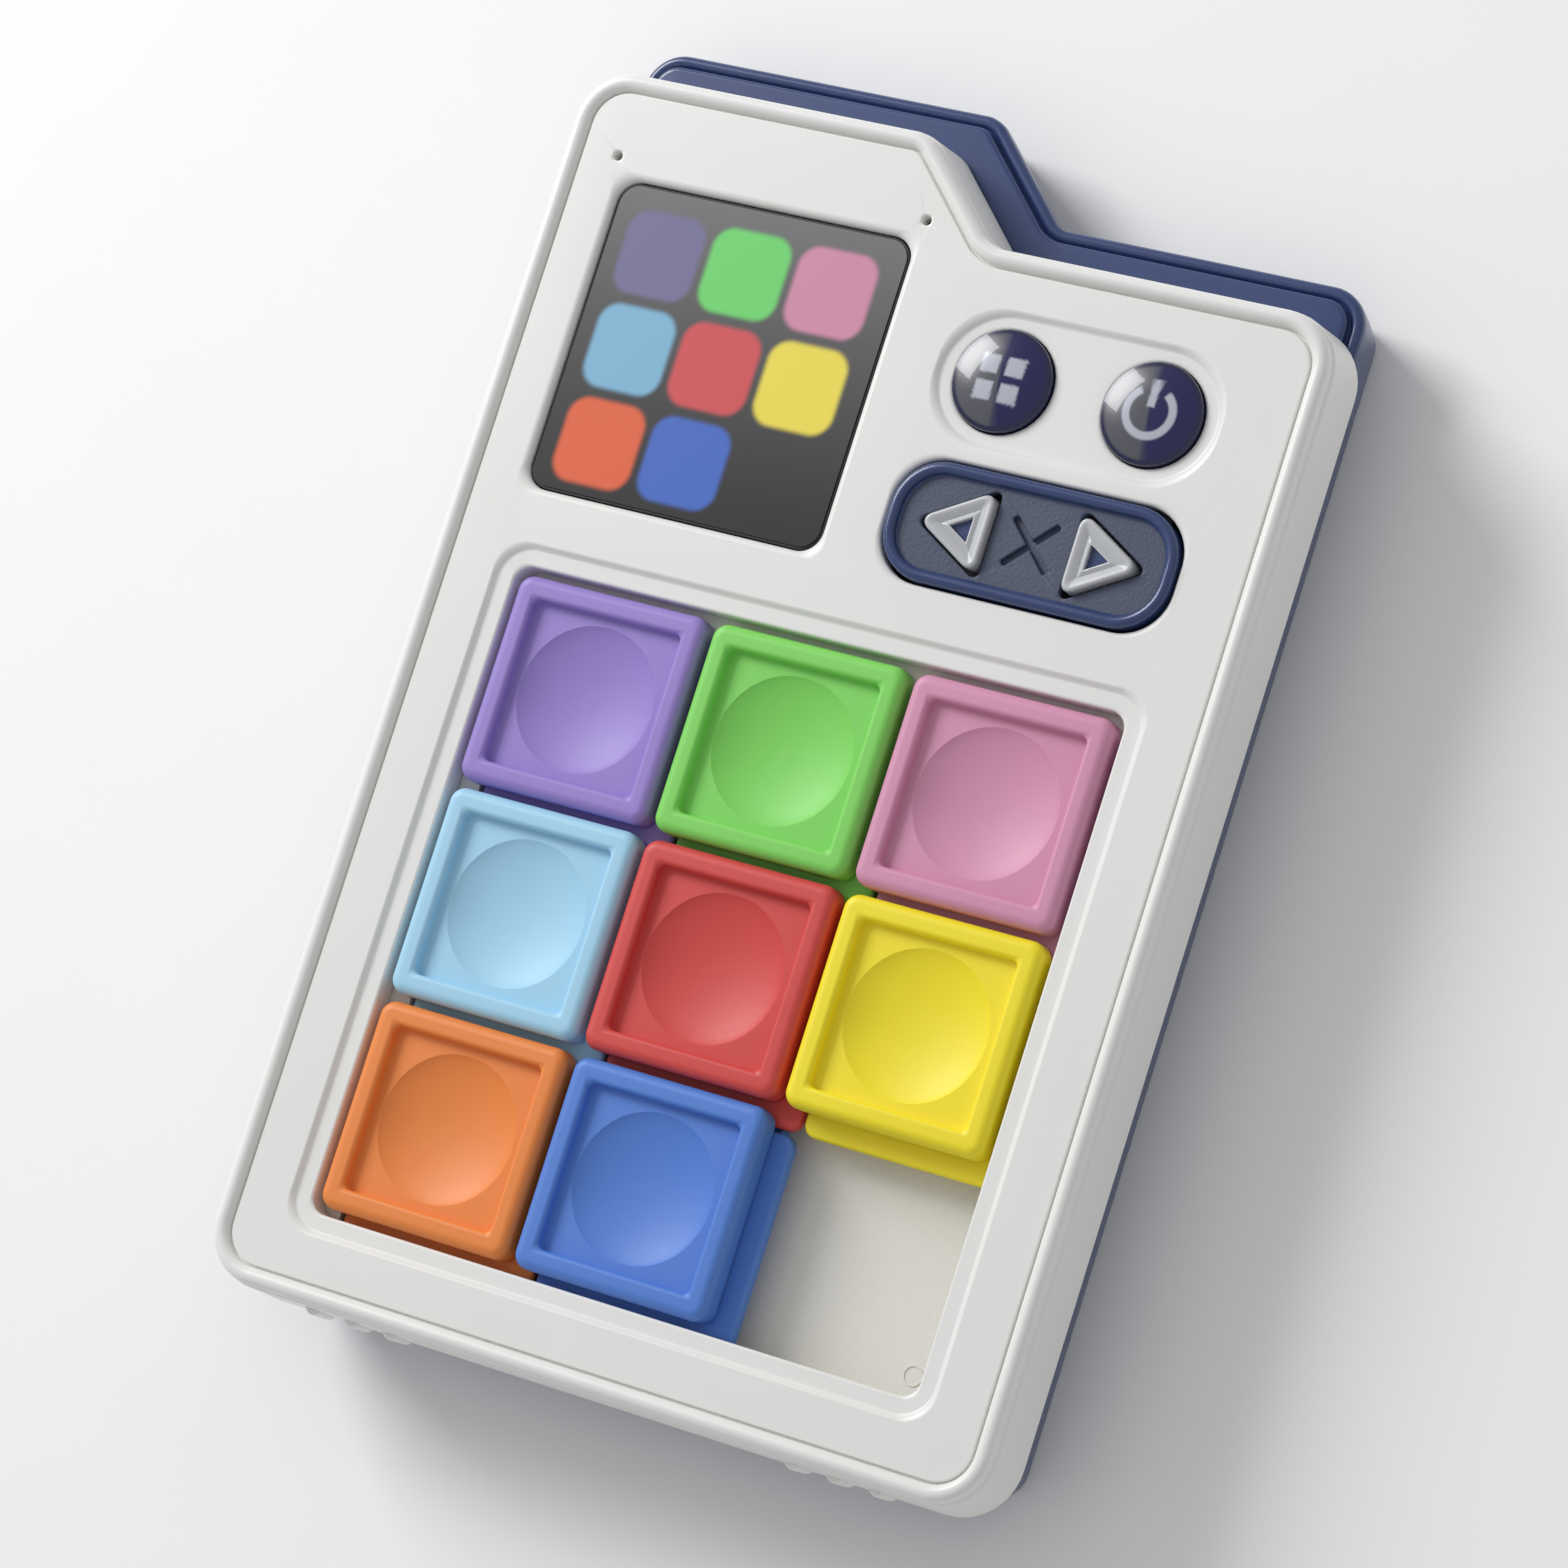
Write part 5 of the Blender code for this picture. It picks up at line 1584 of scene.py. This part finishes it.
@dataclass
class Tile:
    """One sliding tile: a rimmed, dished cap over a base with tongue and groove.

    Attributes:
        colour: The tile's colour.
        rim: Width of the rounded rim.
        recess: Depth of the floor inside the rim.
        dish_radius: Radius of the finger dish.
        dish_depth: Depth of the dish below the floor.
        corner: Corner radius of the cap.
        bend_out: Radius of the rim's outer edge.
        bend_in: Radius of the rim's inner edge.
        set_back: How far the base lies inside the cap on its two groove sides.
        tongue: Thickness of the tongue plate.
    """

    colour: TileColour
    rim: float = 2.75
    recess: float = 1.5
    dish_radius: float = 9.1
    dish_depth: float = 1.75
    corner: float = 1.9
    bend_out: float = 1.25
    bend_in: float = 0.6
    set_back: float = 2.1
    tongue: float = 1.8

    def build_cap(self) -> None:
        """Build the cap: rounded rim, flat floor and round dish."""
        node = f"{self.colour.word}_tile_cap"
        low, high = node_box(node)
        middle = node_middle(node).xy
        half = (high.x - low.x) / 2
        piece = Piece(node.replace("_cap", "_dished_cap"))
        bm = piece.bm
        top, floor = high.z, high.z - self.recess
        shape = Outline.box(middle, (2 * half, 2 * half), self.corner)
        foot = arc(0.3, low.z + 0.3, 0.3, 270, 180, 3)
        shoulder = arc(self.bend_out, top - self.bend_out, self.bend_out, 180, 90, 9)
        sides = walk(bm, shape, foot + shoulder)
        inner_half = half - self.rim
        inner = Outline.box(middle, (2 * inner_half, 2 * inner_half), 0.9)
        bend = arc(-self.bend_in, top - self.bend_in, self.bend_in, 90, 0, 8)
        wall = walk(bm, inner, bend + [(0.03, floor + 0.08), (0.10, floor)])
        fill(bm, sides[-1], wall[0])
        fill(bm, sides[0])
        rings = []
        for share in (1.0, 0.97, 0.92, 0.85, 0.76, 0.66, 0.54, 0.4, 0.26, 0.12):
            drop = self.dish_depth * (1 - share**2) ** 0.8
            reach = self.dish_radius * share
            ring = Outline.box(middle, (2 * reach, 2 * reach), 0.98 * reach)
            rings.append(ring.loop(bm, floor - drop))
        bridge(bm, rings)
        fill(bm, wall[-1], rings[0])
        fill(bm, rings[-1])
        self.finish(piece, node)

    def finish(self, piece: Piece, node: str) -> None:
        """Dress a piece in the tile's colour and hang it on the tile.

        Args:
            piece: The piece.
            node: The frame node that it stands for.
        """
        word = self.colour.word
        piece.finish(f"{word}_tile", self.colour.material(), f"tile_{word}", [node])

    def build_base(self) -> None:
        """Build the base: tongue plate, core and foot."""
        node = f"{self.colour.word}_tile_base"
        low, high = node_box(node)
        cap = f"{self.colour.word}_tile_cap"
        middle = node_middle(cap).xy
        half = node_box(cap)[1].x - middle.x
        tongue_under = high.z - self.tongue
        piece = Piece(node.replace("_base", "_tongued_base"))
        bm = piece.bm
        left, back = middle.x - half + self.set_back, middle.y + half - self.set_back
        start, end = Vector((left, low.y)), Vector((high.x, back))
        plate = Outline.box((start + end) / 2, end - start, 1.6)
        rounded_block(bm, plate, tongue_under, high.z, 0.45)
        start, end = Vector((left, middle.y - half)), Vector((middle.x + half, back))
        core = Outline.box((start + end) / 2, end - start, 1.2)
        body(bm, core.inset(0.05), [(0.0, low.z + 1.9), (0.0, tongue_under + 0.3)])
        foot = Outline.box(middle, (2 * half, 2 * half), self.corner)
        rounded_block(bm, foot, low.z, tongue_under - 0.35, 0.35)
        self.finish(piece, node)


@dataclass
class EjectorMark:
    """The small ring that an ejector pin leaves in the corner of the empty cell's floor.

    Attributes:
        place: Its middle.
        radius: Its outer radius.
        width: Width of the ring's raised edge.
        rise: How far the edge stands above the floor.
    """

    place: tuple[float, float] = (36.7, -38.3)
    radius: float = 1.25
    width: float = 0.16
    rise: float = 0.02

    def build(self) -> None:
        """Build the mark on the floor that the frame's record gives."""
        floor = frame["record"]["physics"]["openings"][0]["box_m"][0][2] / MM
        piece = Piece("ejector_mark")
        top, foot = floor + self.rise, floor - 0.3
        edge = [(0.0, foot), (0.0, top), (self.width, top), (self.width, foot)]
        loops = walk(piece.bm, Outline.circle(self.place, self.radius), edge)
        bridge(piece.bm, [loops[-1], loops[0]])
        piece.finish("casing", Finish.CREAM.material(), "cream_abs")


# --- Studio ----------------------------------------------------------------------------------


@dataclass
class Studio:
    """Pale floor, soft lights and the camera.

    Attributes:
        place: The camera's place, in row-frame metres.
        right: The camera's right.
        up: The camera's up.
        lens: Focal length in millimetres on the sensor.
        sensor: Width of the sensor in millimetres.
        key_place: Where the key light hangs, in metres.
        key_size: Side of the key light, in metres.
        key_power: Power of the key light, in watts.
        room: Strength of the even light all round.
        floor_half: Half the floor's side, in metres.
        floor_drop: How far the floor lies below the toy.
    """

    place: tuple[float, float, float] = (0.28067, -0.07561, 0.60184)
    right: tuple[float, float, float] = (0.8735, 0.3016, -0.3822)
    up: tuple[float, float, float] = (-0.2290, 0.9472, 0.2243)
    lens: float = 126.85
    sensor: float = 36.0
    key_place: tuple[float, float, float] = (-0.84, 0.48, 0.66)
    key_size: float = 0.5
    key_power: float = 9.6
    room: float = 0.47
    floor_half: float = 6.0
    floor_drop: float = 0.2

    def add_camera(self) -> None:
        """Place the camera and make it the scene's."""
        right, up = Vector(self.right).normalized(), Vector(self.up)
        back = right.cross(up).normalized()
        up = back.cross(right)
        camera = bpy.data.objects.new("camera", bpy.data.cameras.new("camera"))
        camera.data.lens = self.lens
        camera.data.sensor_width = self.sensor
        camera.data.clip_start = 0.01
        turn = Matrix((right, up, back)).transposed().to_4x4()
        camera.matrix_world = Matrix.Translation(self.place) @ turn
        bpy.context.scene.collection.objects.link(camera)
        bpy.context.scene.camera = camera

    @staticmethod
    def add_light(name: str, place: Sequence[float], size: float, power: float) -> None:
        """Hang a square soft light that faces the toy.

        Args:
            name: The light's name.
            place: Where it hangs, in metres.
            size: Its side, in metres.
            power: Its power in watts.
        """
        data = bpy.data.lights.new(name, "AREA")
        data.shape = "SQUARE"
        data.size = size
        data.energy = power
        light = bpy.data.objects.new(name, data)
        light.location = place
        light.rotation_euler = (-Vector(place)).to_track_quat("-Z", "Y").to_euler()
        bpy.context.scene.collection.objects.link(light)

    def add_floor(self) -> None:
        """Lay a wide pale floor just under the toy."""
        bm = bmesh.new()
        bmesh.ops.create_grid(bm, x_segments=1, y_segments=1, size=self.floor_half)
        mesh = bpy.data.meshes.new("floor")
        bm.to_mesh(mesh)
        bm.free()
        mesh.transform(Matrix.Translation((0.0, 0.0, -self.floor_drop * MM)))
        floor = bpy.data.objects.new("floor", mesh)
        # White studio paper: even, quite matt, with no grain that shows.
        look = Moulded("paper_sweep", "FFFFFF", "FCFCFC", 0.9, 2.0, 0.0)
        mesh.materials.append(look.build())
        bpy.context.scene.collection.objects.link(floor)

    @staticmethod
    def add_world(strength: float) -> None:
        """Surround the toy with even white light.

        Args:
            strength: The light's strength.
        """
        world = bpy.data.worlds.new("white_room")
        bpy.context.scene.world = world
        world.use_nodes = True
        bpy.context.scene.view_settings.view_transform = "Standard"
        background = world.node_tree.nodes["Background"]
        background.inputs["Color"].default_value = (1.0, 1.0, 1.0, 1.0)
        background.inputs["Strength"].default_value = strength

    def build(self) -> None:
        """Set up the floor, the room, the lights and the camera."""
        self.add_floor()
        self.add_world(self.room)
        self.add_light("key", self.key_place, self.key_size, self.key_power)
        self.add_camera()


# --- Frame nodes that stay -------------------------------------------------------------------

KEPT: dict[Finish, tuple[str, ...]] = {
    Finish.CREAM: ("tile_tray",),
    Finish.BOARD: ("main_board",),
    Finish.BLACK: ("chip_blob", "speaker"),
    Finish.RUBBER: ("key_mat",),
    Finish.NICKEL: (
        "contact_bridge", "contact_minus", "contact_plus", "spring_left", "spring_right",
    ),
    Finish.ZINC: (
        *(f"tray_screw_{i}" for i in range(1, 5)), *(f"board_screw_{i}" for i in range(1, 4)),
    ),
    Finish.WIRE_BLACK: ("speaker_wire_minus", "battery_wire_minus"),
    Finish.WIRE_RED: ("speaker_wire_plus", "battery_wire_plus"),
}


def dress_kept_nodes() -> None:
    """Give each frame node that stays visible its finish."""
    for finish, names in KEPT.items():
        for name in names:
            node = frame["nodes"][name]
            node.data.materials.clear()
            node.data.materials.append(finish.material())
            LOG.info("%s: %s", name, finish.value.name)


def main() -> None:
    """Build the toy's looks, the studio and the camera, in order."""
    logging.basicConfig(level=logging.INFO, format="%(name)s: %(message)s")
    Studio().build()
    panel = ButtonPanel()
    shell = FrontShell()
    bay = BatteryBay()
    shell.build(panel)
    RearShell().build(bay)
    for colour in TileColour:
        tile = Tile(colour)
        tile.build_cap()
        tile.build_base()
    Screen().build(shell)
    panel.build_plate()
    for node in ARROW_KEYS:
        panel.build_arrow(node)
    for node in ("mode_button", "power_button"):
        panel.build_button(node)
    bay.build_door()
    bay.build_cell("battery_1", 1)
    bay.build_cell("battery_2", -1)
    screws = CaseScrews()
    for node in CaseScrews.names():
        screws.build(node, "casing", 0.9)
    screws.build("door_screw", "battery_door", 0.25)
    EjectorMark().build()
    dress_kept_nodes()


if __name__ == "__main__":
    main()
